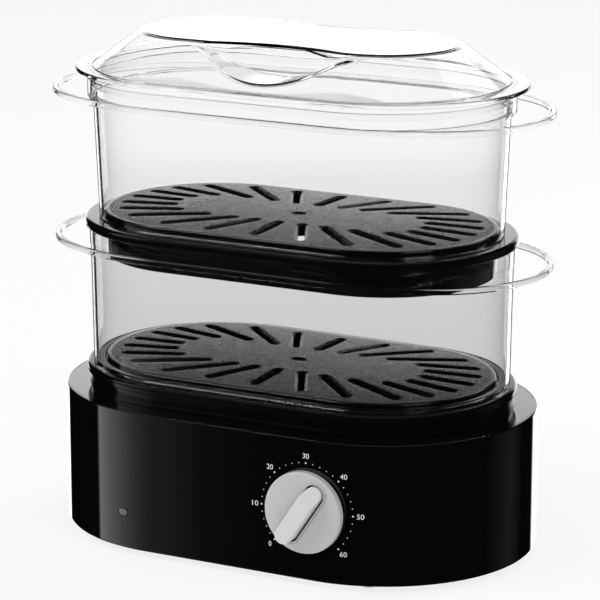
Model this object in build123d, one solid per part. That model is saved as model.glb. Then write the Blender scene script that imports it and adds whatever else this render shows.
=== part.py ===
from build123d import *
from math import asin, atan2, cos, degrees, hypot, radians, sin
import os

# Two-tier electric food steamer: a base with a water tank, heater and timer,
# a drip tray, two clear baskets with slotted floors, and a clear lid.
#
# Millimetres. +Z is up, the front with the timer knob faces -Y, and the origin
# is the centre of the base on the plane that the feet stand on. Every oval is
# two half circles joined by straight runs of one shared length.

# ---- shared outline ----
half_run = 63.0            # half the straight length of every oval

# ---- base housing ----
base_radius = 102.0        # end radius of the base
foot_height = 4.0
housing_height = 94.5      # from the housing's lower edge to the deck
housing_wall = 3.0
deck_thickness = 2.5
deck_ledge = 1.0           # step inside the wall's top that the deck sits on
deck_play = 0.1
deck_edge_round = 1.2
skirt_edge_round = 2.6

# ---- water tank ----
deck_width = 24.2          # deck from the wall's face to the opening for the drip tray
tank_wall = 2.2
tank_lip = 4.0             # flange under the deck
tray_drop = 15.5           # deck down to the shelf that carries the drip tray
shelf_width = 11.8         # mouth of the tank to the outside of the well below it
tank_floor_level = 30.0
tank_floor = 2.5

# ---- heater ----
heater_hole = 34.0
heater_dome_play = 0.5
heater_dome_rise = 1.0     # dome above the tank floor
heater_flange = 48.0
heater_plate_thickness = 3.0
gasket_outer = 40.5
gasket_inset = 0.5
gasket_thickness = 1.6
element_ring = 26.0
element_tube = 3.4
element_flat = 0.8
element_sweep = 300.0
element_leg = 8.0
heater_screw_radius = 44.5
heater_screw_count = 4
thermostat_radius = 8.0
thermostat_height = 5.0
fuse_radius = 2.4
fuse_length = 14.0
fuse_offset = 38.0
steam_ring_outer = 40.5
steam_ring_wall = 2.5
steam_ring_gap = 5.0       # below the drip tray
steam_ring_lip = 7.5
steam_notch_width = 9.0
steam_notch_height = 7.0

# ---- bottom cover and feet ----
cover_thickness = 2.5
cover_play = 0.3
cover_screw_inset = 10.5   # screw line inside the housing's outer face
cover_well_radius = 6.0
cover_well_height = 10.0
boss_radius = 4.0
boss_height = 16.0
boss_rib = 2.0
foot_radius = 8.5
foot_reach = 29.0          # beyond the straight run
foot_inset = 24.0
post_radius = 5.0
post_setback = 11.0        # inside the straight run
post_inset = 24.0          # inside the well's outer face
vent_count = 7
vent_pitch = 8.0
vent_length = 34.0
vent_width = 3.0

# ---- small fasteners ----
screw_head = 3.0
screw_head_height = 2.0
screw_shank = 1.5
screw_play = 0.1
screw_bite = 9.0
screw_recess = 1.0

# ---- timer and knob ----
dial_x = 58.0
dial_z = 51.0
timer_pad = 42.0
timer_pad_depth = 2.5
timer_depth = 24.0
bell_radius = 15.0
bell_height = 4.5
shaft_radius = 3.0
shaft_play = 0.05
shaft_flat = 0.6
shaft_hole = 4.5
shaft_inside = 15.0
shaft_outside = 9.0
timer_screw_offset = 15.0
off_angle = 236.5          # direction of the pointer at rest, from +X towards +Z
knob_radius = 27.2
knob_gap = 0.6
knob_rim_height = 5.5      # front face of the rim above the housing wall
knob_crown = 0.9
knob_edge_round = 1.0
pocket_length = 49.0
pocket_width = 17.0
pocket_depth = 1.6
trim_width = 1.5
trim_play = 0.05
trim_rise = 0.5
grip_length = 44.0
grip_width = 11.2
grip_height = 16.0         # top of the grip above the housing wall
grip_edge_round = 1.0
hub_radius = 4.6
hub_height = 12.0
pointer_radius = 0.9
pointer_depth = 0.4
pointer_inset = 5.0

# ---- indicator ----
lamp_reach = 16.0          # beyond the straight run, to the left
lamp_z = 29.0
lens_length = 7.0
lens_width = 4.2
lens_play = 0.1
lens_flange = 1.5
lens_pad_depth = 1.8
lens_proud = 0.4
holder_length = 14.0
holder_wall = 1.3
lamp_radius = 2.2
lamp_base = 2.0

# ---- cord inlet ----
inlet_x = 40.0
inlet_z = 22.0
inlet_bore = 3.6
inlet_neck = 6.5
inlet_flange = 9.0
inlet_flange_thickness = 2.0
clamp_gap = 14.0           # from the housing wall to the middle of the clamp
clamp_width = 26.0
clamp_depth = 9.0
clamp_leg = 7.0
clamp_bar = 3.0
terminal_x = -30.0
terminal_length = 27.0
terminal_depth = 12.0
terminal_height = 12.0
terminal_ways = 3

# ---- drip tray ----
tray_play = 0.6
tray_wall = 2.0
collar_overlap = 7.8       # deck that the collar covers
collar_height = 9.0
collar_step = 0.7          # bead round the collar's foot
collar_step_height = 2.2
chimney_radius = 20.0
chimney_height = 12.0

# ---- basket floors ----
flange_overhang = 2.4      # beyond the tray's collar
flange_height = 6.0
flange_top_round = 2.4
flange_low_round = 0.8
plate_overhang = 0.5       # beyond the skirt
plate_rise = 5.2           # plate above the flange
plate_thickness = 2.5
plate_edge_round = 1.2
floor_wall = 2.2
skirt_play = 1.2           # inside the drip tray
skirt_depth = 20.0
skirt_draft = 0.8
lip_play = 0.5
lip_height = 1.5
slot_width = 4.6
slot_bevel = 2.0           # width of the slope round the top of a slot
slot_bevel_depth = 1.2
slot_margin = 13.0         # plate's edge to the oval that the outer slot ends lie on
slot_inner_radius = 29.0   # oval that the inner slot ends lie on
# Places of each slot's outer and inner end along a quarter of those ovals,
# from the tip of the oval (0) to its middle (1).
slot_places = ((0.0, 0.0), (0.12, 0.13), (0.24, 0.28), (0.38, 0.5), (0.58, 0.69), (0.79, 0.84), (1.0, 1.0))
centre_slot_length = 8.0

# ---- clear baskets ----
basket_height = 94.3
clear_wall = 2.2
rim_inset = 3.0            # collar at the mouth of either basket, inside the flange
lower_foot_inset = 1.5     # all four are measured in from that collar
lower_shoulder_inset = 0.4
upper_foot_inset = 6.7
upper_shoulder_inset = 3.5
foot_bore_play = 1.5       # round the raised plate
foot_thickness = 2.4
foot_round = 2.0
band_drop = 13.1           # basket's mouth above the lower edge of its handle band
band_height = 4.0
band_width = 3.2
band_standoff = 3.0        # outside the collar along the straight runs
loop_standoff = 28.0       # outside the collar at the tips
loop_taper = 8.7           # how much tighter the tip's arc is than the band's own reach
band_round = 1.0

# ---- lid ----
lid_skirt_depth = 5.0
lid_skirt_play = 0.5
lid_drum_height = 3.7
lid_flange_overhang = 5.0
lid_flange_thickness = 3.0
lid_tab_overhang = 10.0
lid_tab_taper = 10.0
lid_flange_round = 1.0
dome_foot_inset = 3.0
dome_slope_width = 32.6
dome_height = 24.4
dome_top_round = 4.0
scoop_shift = 9.0          # middle of the scoops, towards +X
scoop_half_span = 78.0
scoop_depth = 19.7
grip_half_width = 42.0     # middle line to the scoops at their nearest
scoop_wall_radius = 150.0

# ---- building aids ----
cutter_margin = 10.0       # how far cutting solids run past what they cut
tolerance = 0.02           # how far from its place an edge may be and still be picked

# ---- end radii worked out from the sizes above ----
mouth_radius = base_radius - deck_width
well_radius = mouth_radius - shelf_width
tray_radius = mouth_radius - tray_play
collar_outer = mouth_radius + collar_overlap
flange_radius = collar_outer + flange_overhang
skirt_radius = tray_radius - tray_wall - skirt_play
plate_radius = skirt_radius + plate_overhang
foot_bore_radius = plate_radius + foot_bore_play
rim_radius = flange_radius - rim_inset
lid_flange_radius = rim_radius + lid_flange_overhang
dome_foot_radius = rim_radius - dome_foot_inset
dome_top_radius = dome_foot_radius - dome_slope_width

# ---- levels worked out from the sizes above ----
housing_bottom = foot_height
deck_top = housing_bottom + housing_height
deck_under = deck_top - deck_thickness
shelf_level = deck_top - tray_drop
cover_top = housing_bottom + cover_thickness
tank_bed = tank_floor_level + tank_floor
gasket_level = tank_floor_level - gasket_thickness
plate_under = gasket_level - heater_plate_thickness
lower_floor_level = deck_top + collar_height
lower_wall_level = lower_floor_level + flange_height
upper_floor_level = lower_wall_level + basket_height
upper_wall_level = upper_floor_level + flange_height
lid_level = upper_wall_level + basket_height
lid_flange_level = lid_level + lid_drum_height
dome_level = lid_flange_level + lid_flange_thickness
band_level = basket_height - band_drop       # above the basket's lower edge


# ---------------------------------------------------------------- outlines

def oval(radius):
    """Face of two half circles joined by straight runs."""
    return SlotCenterToCenter(2 * half_run, 2 * radius)


def slab(radius, low, high):
    """Straight-sided oval block between two levels."""
    return Pos(0, 0, low) * extrude(oval(radius), high - low)


def ring(outer, inner, low, high):
    """Straight-sided oval wall."""
    return slab(outer, low, high) - slab(inner, low, high)


def taper(low_radius, high_radius, low, high):
    """Oval block whose end radius changes evenly with height."""
    sections = [Pos(0, 0, low) * oval(low_radius), Pos(0, 0, high) * oval(high_radius)]
    return loft(sections, ruled=True)


def winged_oval(reach, tip_reach, taper):
    """Face of an oval drawn out at both ends to rounded tips.

    Each quarter is a flank arc that leaves the straight run smoothly and runs
    smoothly into the tip arc, which is tighter than reach by taper.
    """
    tip = half_run + tip_reach
    tip_radius = reach - taper
    run = tip_reach - tip_radius
    flank_radius = (run ** 2 + reach ** 2 - tip_radius ** 2) / (2 * taper)
    lean = (flank_radius - reach) / (flank_radius - tip_radius)
    slope = asin(lean)
    flank_centre = flank_radius - reach

    def on_flank(angle):
        return half_run + flank_radius * cos(angle), flank_centre - flank_radius * sin(angle)

    joint = on_flank(slope)
    middle = on_flank((slope + radians(90)) / 2)
    lines = []
    for side in (1, -1):
        lines.append(Line((half_run, -side * reach), (-half_run, -side * reach)))
        for end in (1, -1):
            start = (end * half_run, -side * reach)
            through = (end * middle[0], side * middle[1])
            stop = (end * joint[0], side * joint[1])
            lines.append(ThreePointArc(start, through, stop))
    for end in (1, -1):
        low = (end * joint[0], joint[1])
        high = (end * joint[0], -joint[1])
        lines.append(ThreePointArc(low, (end * tip, 0), high))
    return make_face(lines)


def oval_distance(point):
    """Distance of a point from the middle line of the ovals, seen from above."""
    return hypot(max(abs(point.X) - half_run, 0), point.Y)


def rim_edges(shape, level, radius):
    """Edges of one oval at one level."""
    found = ShapeList()
    for edge in shape.edges():
        ends = (edge @ 0, edge @ 0.5, edge @ 1)
        level_fits = all(abs(point.Z - level) < tolerance for point in ends)
        if level_fits and all(abs(oval_distance(point) - radius) < tolerance for point in ends):
            found.append(edge)
    return found


def on_dial(shape):
    """Moves a shape drawn with +Z outwards onto the front wall at the dial."""
    return Pos(dial_x, -base_radius, dial_z) * Rot(90, 0, 0) * shape


def on_lamp(shape):
    """Moves a shape drawn with +Z outwards onto the front wall at the indicator."""
    turn = degrees(asin(lamp_reach / base_radius))
    return Pos(-half_run, 0, lamp_z) * Rot(0, 0, -turn) * Pos(0, -base_radius, 0) * Rot(90, 0, 0) * shape


def on_inlet(shape):
    """Moves a shape drawn with +Z outwards onto the rear wall at the cord inlet."""
    return Pos(inlet_x, base_radius, inlet_z) * Rot(-90, 0, 0) * shape


def post(radius, low, high):
    """Upright round post."""
    return Pos(0, 0, low) * extrude(Circle(radius), high - low)


def screw(length):
    """Pan-head screw, its head's underside at the origin and its point at +Z."""
    head = post(screw_head, -screw_head_height, 0)
    shank = post(screw_shank, 0, length)
    recess = Pos(0, 0, -screw_head_height) * Box(screw_head, screw_recess / 2, screw_recess)
    cross = recess + Rot(0, 0, 90) * recess
    return head + shank - cross


def group(shapes):
    """Separate solids kept together as one node."""
    return Compound(children=[shape.solid() for shape in shapes])


def cover_screw_places():
    """Screws of the bottom cover: one at each round corner and one midway along front and back."""
    line = base_radius - cover_screw_inset
    reach = line * cos(radians(45))
    return four_places(half_run + reach, reach) + [(0, -line), (0, line)]


def four_places(x, y):
    """The same place in each quarter."""
    return [(end * x, side * y) for end in (-1, 1) for side in (-1, 1)]


def post_places():
    """Posts of the bottom cover, under the tank's floor."""
    return four_places(half_run - post_setback, well_radius - post_inset)


def timer_screw_places():
    """Screws of the timer on the dial's own plane, either side of the shaft."""
    return [(side * timer_screw_offset, side * timer_screw_offset / 2) for side in (-1, 1)]


def heater_screw_places():
    """Screws of the heater on their circle, turned off the axes."""
    places = PolarLocations(heater_screw_radius, heater_screw_count, start_angle=45)
    return [(place.position.X, place.position.Y) for place in places]


# ---------------------------------------------------------------- base

def housing_shell():
    """Glossy oval wall with a ledge for the deck, ribbed screw bosses and pads behind what it carries."""
    wall_inner = base_radius - housing_wall
    outside = slab(base_radius, housing_bottom, deck_top)
    outside = fillet(rim_edges(outside, deck_top, base_radius), deck_edge_round)
    outside = fillet(rim_edges(outside, housing_bottom, base_radius), skirt_edge_round)
    hollow = slab(wall_inner, housing_bottom, deck_under)
    shell = outside - hollow - slab(wall_inner + deck_ledge, deck_under, deck_top)

    pad_back = -(housing_wall + timer_pad_depth)
    pad = Pos(0, 0, pad_back / 2) * Box(timer_pad, timer_pad, -pad_back)
    lens_pad_back = -(housing_wall + lens_pad_depth)
    lens_pad = Pos(0, 0, lens_pad_back / 2) * Box(2 * lens_length, 3 * lens_width, -lens_pad_back)
    inside = slab(base_radius - housing_wall / 2, housing_bottom, deck_under)
    shell += (on_dial(pad) + on_lamp(lens_pad)) & inside

    boss_low = housing_bottom + cover_well_height
    boss_high = boss_low + boss_height
    rib = Box(cover_screw_inset, boss_rib, boss_height, align=(Align.MIN, Align.CENTER, Align.MIN))
    for x, y in cover_screw_places():
        outward = degrees(atan2(y, x - max(-half_run, min(half_run, x))))
        boss = post(boss_radius, boss_low, boss_high) + Rot(0, 0, outward) * Pos(0, 0, boss_low) * rib
        pilot = post(screw_shank + screw_play, boss_low, boss_low + screw_bite + screw_play)
        shell += (Pos(x, y, 0) * boss & inside) - Pos(x, y, 0) * pilot

    shaft_way = post(shaft_hole, pad_back - tolerance, cutter_margin)
    screw_way = post(screw_shank + screw_play, pad_back - tolerance, cutter_margin)
    head_way = post(screw_head + screw_play, -screw_head_height, cutter_margin)
    cuts = [on_dial(shaft_way)]
    for x, y in timer_screw_places():
        cuts.append(on_dial(Pos(x, y, 0) * (screw_way + head_way)))
    lens_way = SlotOverall(lens_length + 2 * lens_play, lens_width + 2 * lens_play)
    cuts.append(on_lamp(Pos(0, 0, lens_pad_back - tolerance) * extrude(lens_way, cutter_margin)))
    cuts.append(on_inlet(post(inlet_neck, -cutter_margin, cutter_margin)))
    for cut in cuts:
        shell -= cut
    return shell


def deck_plate():
    """Glossy deck let into the top of the wall, open in the middle for the tank."""
    deck_radius = base_radius - housing_wall + deck_ledge - deck_play
    return ring(deck_radius, mouth_radius, deck_under, deck_top)


def water_tank():
    """Black tub under the deck: a shelf for the drip tray, then a narrower well."""
    flange = slab(mouth_radius + tank_wall + tank_lip, deck_under - tank_wall, deck_under)
    mouth = slab(mouth_radius + tank_wall, shelf_level - tank_wall, deck_under)
    well = slab(well_radius, tank_floor_level, shelf_level)
    room = slab(mouth_radius, shelf_level, deck_under) + slab(well_radius - tank_wall, tank_bed, shelf_level)
    tank = flange + mouth + well - room
    tank -= post(heater_hole, tank_floor_level, tank_bed)
    for x, y in heater_screw_places():
        pilot = post(screw_shank + screw_play, gasket_level, tank_bed - tank_floor / 2)
        tank += Pos(x, y, 0) * post(boss_radius, gasket_level, tank_floor_level)
        tank -= Pos(x, y, 0) * pilot
    return tank


def heater_gasket():
    """Silicone ring between the tank floor and the heater."""
    inner = post(heater_hole + gasket_inset, gasket_level, tank_floor_level)
    return post(gasket_outer - tank_wall, gasket_level, tank_floor_level) - inner


def heater_plate():
    """Cast aluminium plate: a flange under the tank and a low dome up through it."""
    flange = post(heater_flange, plate_under, gasket_level)
    dome_top = tank_bed + heater_dome_rise
    dome = post(heater_hole - heater_dome_play, gasket_level, dome_top)
    dome = chamfer(dome.edges().group_by(Axis.Z)[-1], heater_dome_rise)
    plate = flange + dome
    for x, y in heater_screw_places():
        plate -= Pos(x, y, 0) * post(screw_shank + screw_play, plate_under, gasket_level)
    return plate


def heating_element():
    """Tubular element brazed flat under the plate, with its two cold ends down."""
    section = Circle(element_tube) - Pos(0, element_tube) * Rectangle(2 * element_tube, 2 * element_flat)
    centre_level = plate_under - element_tube + element_flat
    section = Plane.XZ * Pos(element_ring, 0) * section
    loop = revolve(section, Axis.Z, element_sweep)
    leg = post(element_tube - element_flat, -element_leg - element_tube, 0)
    ends = [Rot(0, 0, turn) * Pos(element_ring, 0, 0) * leg for turn in (0, element_sweep)]
    return Pos(0, 0, centre_level) * Rot(0, 0, (360 - element_sweep) / 2) * (loop + ends[0] + ends[1])


def thermostat():
    """Disc thermostat under the middle of the plate, with two blade terminals."""
    body = post(thermostat_radius, plate_under - thermostat_height, plate_under)
    blade_height = 2 * thermostat_height
    for side in (-1, 1):
        blade = Box(fuse_radius, screw_recess, blade_height)
        body += Pos(side * thermostat_radius / 2, 0, plate_under - blade_height) * blade
    return body


def thermal_fuse():
    """Fuse capsule clamped against the plate by its own tab."""
    capsule = Rot(0, 90, 0) * Cylinder(fuse_radius, fuse_length)
    tab = Pos(0, 0, fuse_radius - screw_recess / 2) * Box(fuse_length / 2, 3 * fuse_radius, screw_recess)
    return Pos(0, -fuse_offset, plate_under - fuse_radius) * (capsule + tab)


def heater_screws():
    """Screws that draw the heater up against the tank floor."""
    length = heater_plate_thickness + gasket_thickness
    return group([Pos(x, y, plate_under) * screw(length) for x, y in heater_screw_places()])


def steam_ring():
    """Ring that holds a little water over the heater, fed through notches at its foot."""
    top = shelf_level - steam_ring_gap
    wall = post(steam_ring_outer, tank_bed, top) - post(steam_ring_outer - steam_ring_wall, tank_bed, top)
    lip = post(steam_ring_outer, top - steam_ring_wall, top)
    lip -= post(steam_ring_outer - steam_ring_lip, top - steam_ring_wall, top)
    notch = Box(2 * steam_ring_outer + cutter_margin, steam_notch_width, 2 * steam_notch_height)
    notches = Pos(0, 0, tank_bed) * (notch + Rot(0, 0, 90) * notch)
    return wall + lip - notches


def bottom_cover():
    """Plate that closes the base, with wells for its screws, posts under the tank and vents."""
    cover_radius = base_radius - housing_wall - cover_play
    cover = slab(cover_radius, housing_bottom, cover_top)
    well_top = housing_bottom + cover_well_height
    for x, y in cover_screw_places():
        cover += Pos(x, y, 0) * post(cover_well_radius, cover_top, well_top)
    for x, y in post_places():
        cover += Pos(x, y, 0) * post(post_radius, cover_top, tank_floor_level)
    clamp_y = base_radius - housing_wall - clamp_gap
    pad_height = inlet_z - inlet_bore - cover_top
    cover += Pos(inlet_x, clamp_y, cover_top + pad_height / 2) * Box(clamp_width, clamp_depth, pad_height)

    head_room = well_top - screw_head_height
    for x, y in cover_screw_places():
        way = post(screw_head + screw_play, housing_bottom, head_room)
        cover -= Pos(x, y, 0) * (way + post(screw_shank + screw_play, head_room, well_top))
    for x, y in clamp_screw_places():
        pilot = post(screw_shank + screw_play, cover_top + cover_thickness, inlet_z)
        cover -= Pos(x, y, 0) * pilot
    vent = extrude(SlotOverall(vent_length, vent_width), cover_thickness)
    for step in range(vent_count):
        y = (step - (vent_count - 1) / 2) * vent_pitch
        cover -= Pos(0, y, housing_bottom) * vent
    return cover


def cover_screws():
    """Screws driven up through the wells into the housing's bosses."""
    head_seat = housing_bottom + cover_well_height - screw_head_height
    length = screw_head_height + screw_bite
    return group([Pos(x, y, head_seat) * screw(length) for x, y in cover_screw_places()])


def feet():
    """Four rubber feet, rounded where they meet the table."""
    foot = post(foot_radius, 0, foot_height)
    foot = fillet(foot.edges().group_by(Axis.Z)[0], foot_height / 4)
    places = four_places(half_run + foot_reach, base_radius - foot_inset)
    return group([Pos(x, y, 0) * foot for x, y in places])


# ---------------------------------------------------------------- timer and knob

timer_front = -(housing_wall + timer_pad_depth)
timer_back = timer_front - timer_depth


def timer_case():
    """Square clockwork timer screwed behind the front wall."""
    case = Pos(0, 0, timer_back) * extrude(Rectangle(timer_pad, timer_pad), timer_depth)
    case = fillet(case.edges().filter_by(Axis.Z), boss_radius / 2)
    case -= post(shaft_radius + shaft_play, timer_front - shaft_inside - shaft_play, timer_front)
    for x, y in timer_screw_places():
        case -= Pos(x, y, 0) * post(screw_shank + screw_play, timer_front - screw_bite, timer_front)
    return on_dial(case)


def timer_bell():
    """Bell cup on the back of the timer."""
    cup = post(bell_radius, timer_back - bell_height, timer_back)
    cup = fillet(cup.edges().group_by(Axis.Z)[0], bell_height / 2)
    cup -= post(bell_radius - screw_recess, timer_back - bell_height + screw_recess, timer_back)
    cup += post(screw_shank, timer_back - bell_height, timer_back)
    return on_dial(cup)


def timer_screws():
    """Two screws through the front wall, hidden by the knob."""
    length = screw_bite - screw_head_height - timer_front - screw_play
    driver = Rot(180, 0, 0) * screw(length)
    return group([on_dial(Pos(x, y, -screw_head_height) * driver) for x, y in timer_screw_places()])


def shaft_profile(radius, low, high):
    """Round shaft with one flat."""
    rod = post(radius, low, high)
    width = 2 * radius
    flat = Pos(0, radius + width / 2 - shaft_flat, (low + high) / 2) * Box(2 * width, width, 2 * (high - low))
    return rod - flat


def timer_shaft():
    """Steel shaft from the clockwork to the knob: round in the timer, flatted in the knob."""
    round_part = post(shaft_radius, timer_front - shaft_inside, 0)
    return on_dial(round_part + shaft_profile(shaft_radius, 0, shaft_outside))


def pointing(shape):
    """Turns a shape drawn along X so that its +X end is the pointer at rest."""
    return Rot(0, 0, off_angle) * shape


def timer_knob():
    """Round knob skirt with a crowned face, a pocket round the grip and a hub."""
    rim_low = knob_gap
    crown_top = knob_rim_height + knob_crown
    with BuildSketch(Plane.XZ) as half:
        with BuildLine():
            side = Line((knob_radius, rim_low), (knob_radius, knob_rim_height))
            face = TangentArc((0, crown_top), side @ 1, tangent=(1, 0))
            Line(side @ 0, (0, rim_low))
            Line((0, rim_low), face @ 0)
        make_face()
    disc = revolve(half.sketch, Axis.Z)
    disc = fillet(rim_circle(disc, knob_radius), knob_edge_round)
    pocket = extrude(SlotOverall(pocket_length, pocket_width), cutter_margin)
    disc -= pointing(Pos(0, 0, knob_rim_height - pocket_depth) * pocket)
    disc += post(hub_radius, rim_low, hub_height)
    disc -= shaft_profile(shaft_radius + shaft_play, rim_low, shaft_outside + knob_gap)
    return on_dial(disc)


def rim_circle(shape, radius):
    """Outer front edge of the knob skirt."""
    found = ShapeList()
    for edge in shape.edges():
        start = edge @ 0.5
        if abs(hypot(start.X, start.Y) - radius) < tolerance and start.Z > knob_rim_height - tolerance:
            found.append(edge)
    return found


def knob_trim():
    """Bright bead that lines the wall of the knob's pocket."""
    low = knob_rim_height - pocket_depth
    outer = SlotOverall(pocket_length - 2 * trim_play, pocket_width - 2 * trim_play)
    inner = SlotOverall(pocket_length - 2 * trim_width, pocket_width - 2 * trim_width)
    bead = extrude(outer - inner, pocket_depth + knob_crown + trim_rise)
    bead = fillet(bead.edges().group_by(Axis.Z)[-1], trim_width / 3)
    return on_dial(pointing(Pos(0, 0, low) * bead))


def knob_grip():
    """Brushed bar to turn the knob by, with a dimple at its pointing end."""
    low = knob_rim_height - pocket_depth
    bar = Pos(0, 0, low) * extrude(SlotOverall(grip_length, grip_width), grip_height - low)
    bar = fillet(bar.edges().group_by(Axis.Z)[-1], grip_edge_round)
    bar -= post(hub_radius + shaft_play, low, hub_height + shaft_play)
    dimple = post(pointer_radius, grip_height - pointer_depth, grip_height + cutter_margin)
    bar -= Pos(grip_length / 2 - pointer_inset, 0, 0) * dimple
    return on_dial(pointing(bar))


# ---------------------------------------------------------------- indicator, inlet

lens_back = -(housing_wall + lens_pad_depth)


def indicator_lens():
    """Oval lens in the front wall, with a flange behind it."""
    body = Pos(0, 0, lens_back) * extrude(SlotOverall(lens_length, lens_width), lens_proud - lens_back)
    body = fillet(body.edges().group_by(Axis.Z)[-1], lens_proud)
    flange_size = (lens_length + 2 * lens_flange, lens_width + 2 * lens_flange)
    flange = Pos(0, 0, lens_back - lens_flange) * extrude(SlotOverall(*flange_size), lens_flange)
    return on_lamp(body + flange)


def lamp_holder():
    """Sleeve behind the lens that holds the lamp."""
    front = lens_back - lens_flange
    outer = post(lamp_radius + lens_play + holder_wall, front - holder_length, front)
    return on_lamp(outer - post(lamp_radius + lens_play, front - holder_length, front))


def indicator_lamp():
    """Neon lamp: a glass body in the sleeve and a base against its end."""
    back = lens_back - lens_flange - holder_length
    glass = post(lamp_radius, back, back + holder_length - lamp_base)
    glass = fillet(glass.edges().group_by(Axis.Z)[-1], lamp_radius / 2)
    return on_lamp(glass + post(lamp_radius + holder_wall, back - lamp_base, back))


def cord_gland():
    """Rubber grommet in the rear wall where the cord comes out."""
    low = -housing_wall - inlet_flange_thickness
    body = post(inlet_neck - screw_play, low, inlet_flange_thickness)
    for level in (low, 0):
        body += post(inlet_flange, level, level + inlet_flange_thickness)
    body = fillet(body.edges().group_by(Axis.Z)[-1], inlet_flange_thickness / 3)
    return on_inlet(body - post(inlet_bore, low, inlet_flange_thickness))


def clamp_screw_places():
    """Screws of the cord clamp, one in each leg."""
    clamp_y = base_radius - housing_wall - clamp_gap
    reach = (clamp_width - clamp_leg) / 2
    return [(inlet_x + side * reach, clamp_y) for side in (-1, 1)]


def cord_clamp():
    """Bridge that pins the cord to the bottom cover, inside the base."""
    clamp_y = base_radius - housing_wall - clamp_gap
    low = inlet_z - inlet_bore
    height = 2 * inlet_bore + clamp_bar
    block = Pos(inlet_x, clamp_y, low + height / 2) * Box(clamp_width, clamp_depth, height)
    tunnel = Box(clamp_width - 2 * clamp_leg, 2 * clamp_depth, 4 * inlet_bore)
    block -= Pos(inlet_x, clamp_y, low) * tunnel
    for x, y in clamp_screw_places():
        block -= Pos(x, y, 0) * post(screw_shank + screw_play, low, low + height)
    return block


def clamp_screws():
    """Screws down through the clamp's legs."""
    top = inlet_z + inlet_bore + clamp_bar
    length = 2 * inlet_bore + clamp_bar + screw_bite
    shapes = [Pos(x, y, top) * Rot(180, 0, 0) * screw(length) for x, y in clamp_screw_places()]
    return group(shapes)


def terminal_block():
    """Three-way terminal block on the bottom cover."""
    clamp_y = base_radius - housing_wall - clamp_gap
    size = (terminal_length, terminal_depth, terminal_height)
    block = Box(*size, align=(Align.CENTER, Align.CENTER, Align.MIN))
    pitch = terminal_length / terminal_ways
    for way in range(terminal_ways):
        x = (way - (terminal_ways - 1) / 2) * pitch
        block -= Pos(x, 0, 0) * post(screw_shank, terminal_height / 2, terminal_height)
        block -= Pos(x, 0, terminal_height / 4) * Rot(90, 0, 0) * Cylinder(screw_shank, 2 * terminal_depth)
    return Pos(terminal_x, clamp_y, cover_top) * block


# ---------------------------------------------------------------- baskets

def drip_tray():
    """Pan that drops into the tank's mouth, with a collar on the deck and a steam chimney."""
    tray_top = lower_floor_level
    ledge_top = deck_top + tray_wall
    body = slab(collar_outer, deck_top, tray_top) + slab(tray_radius, shelf_level, deck_top)
    body += slab(collar_outer + collar_step, deck_top, deck_top + collar_step_height)
    room = slab(tray_radius - tray_wall, shelf_level + tray_wall, ledge_top)
    room += slab(collar_outer - tray_wall, ledge_top, tray_top)
    chimney = post(chimney_radius + tray_wall, shelf_level, shelf_level + chimney_height)
    tray = body - room + chimney
    return tray - post(chimney_radius, shelf_level, shelf_level + chimney_height)


def quarter_point(radius, place):
    """Point on a quarter of an oval, by its share of the way from the tip to the middle."""
    arc = radius * radians(90)
    way = place * (arc + half_run)
    if way < arc:
        angle = way / radius
        return half_run + radius * cos(angle), radius * sin(angle)
    return half_run - (way - arc), radius


def beveled_slot(length, depth):
    """Slot cut from the plane below to depth above it, opened out at its top by a slope."""
    outline = SlotCenterToCenter(length, slot_width)
    opened = SlotCenterToCenter(length, slot_width + 2 * slot_bevel)
    sections = [Pos(0, 0, depth - slot_bevel_depth) * outline, Pos(0, 0, depth) * opened]
    return extrude(outline, depth) + loft(sections, ruled=True)


def steam_slots(low, high):
    """Fan of slots: every one runs from the outer oval to the inner one."""
    slots = []
    for outer_place, inner_place in slot_places:
        outer = quarter_point(plate_radius - slot_margin, outer_place)
        inner = quarter_point(slot_inner_radius, inner_place)
        ends = {1, -1} if outer_place < 1 else {1}
        sides = {1, -1} if outer_place > 0 else {1}
        for end in ends:
            for side in sides:
                start = Vector(end * outer[0], side * outer[1])
                stop = Vector(end * inner[0], side * inner[1])
                run = stop - start
                middle = (start + stop) / 2
                turn = degrees(atan2(run.Y, run.X))
                slots.append(Pos(middle.X, middle.Y, low) * Rot(0, 0, turn) * beveled_slot(run.length, high - low))
    slots.append(Pos(0, 0, low) * beveled_slot(centre_slot_length - slot_width, high - low))
    return slots


def basket_floor(level):
    """Black floor: a flange that the basket stands on, a raised slotted plate and a skirt below."""
    flange_top = level + flange_height
    plate_top = flange_top + plate_rise
    flange = slab(flange_radius, level, flange_top)
    flange = fillet(rim_edges(flange, flange_top, flange_radius), flange_top_round)
    flange = fillet(rim_edges(flange, level, flange_radius), flange_low_round)
    plate = slab(plate_radius, flange_top, plate_top)
    plate = fillet(rim_edges(plate, plate_top, plate_radius), plate_edge_round)
    skirt = taper(skirt_radius - skirt_draft, skirt_radius, level - skirt_depth, level)
    hollow_radius = skirt_radius - skirt_draft - floor_wall
    hollow = slab(hollow_radius, level - skirt_depth, plate_top - plate_thickness)
    lip_radius = rim_radius - clear_wall - lip_play
    lip = ring(lip_radius, lip_radius - floor_wall, level - lip_height, level)
    body = flange + plate + skirt + lip - hollow
    return body - steam_slots(plate_top - plate_thickness, plate_top)


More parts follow.
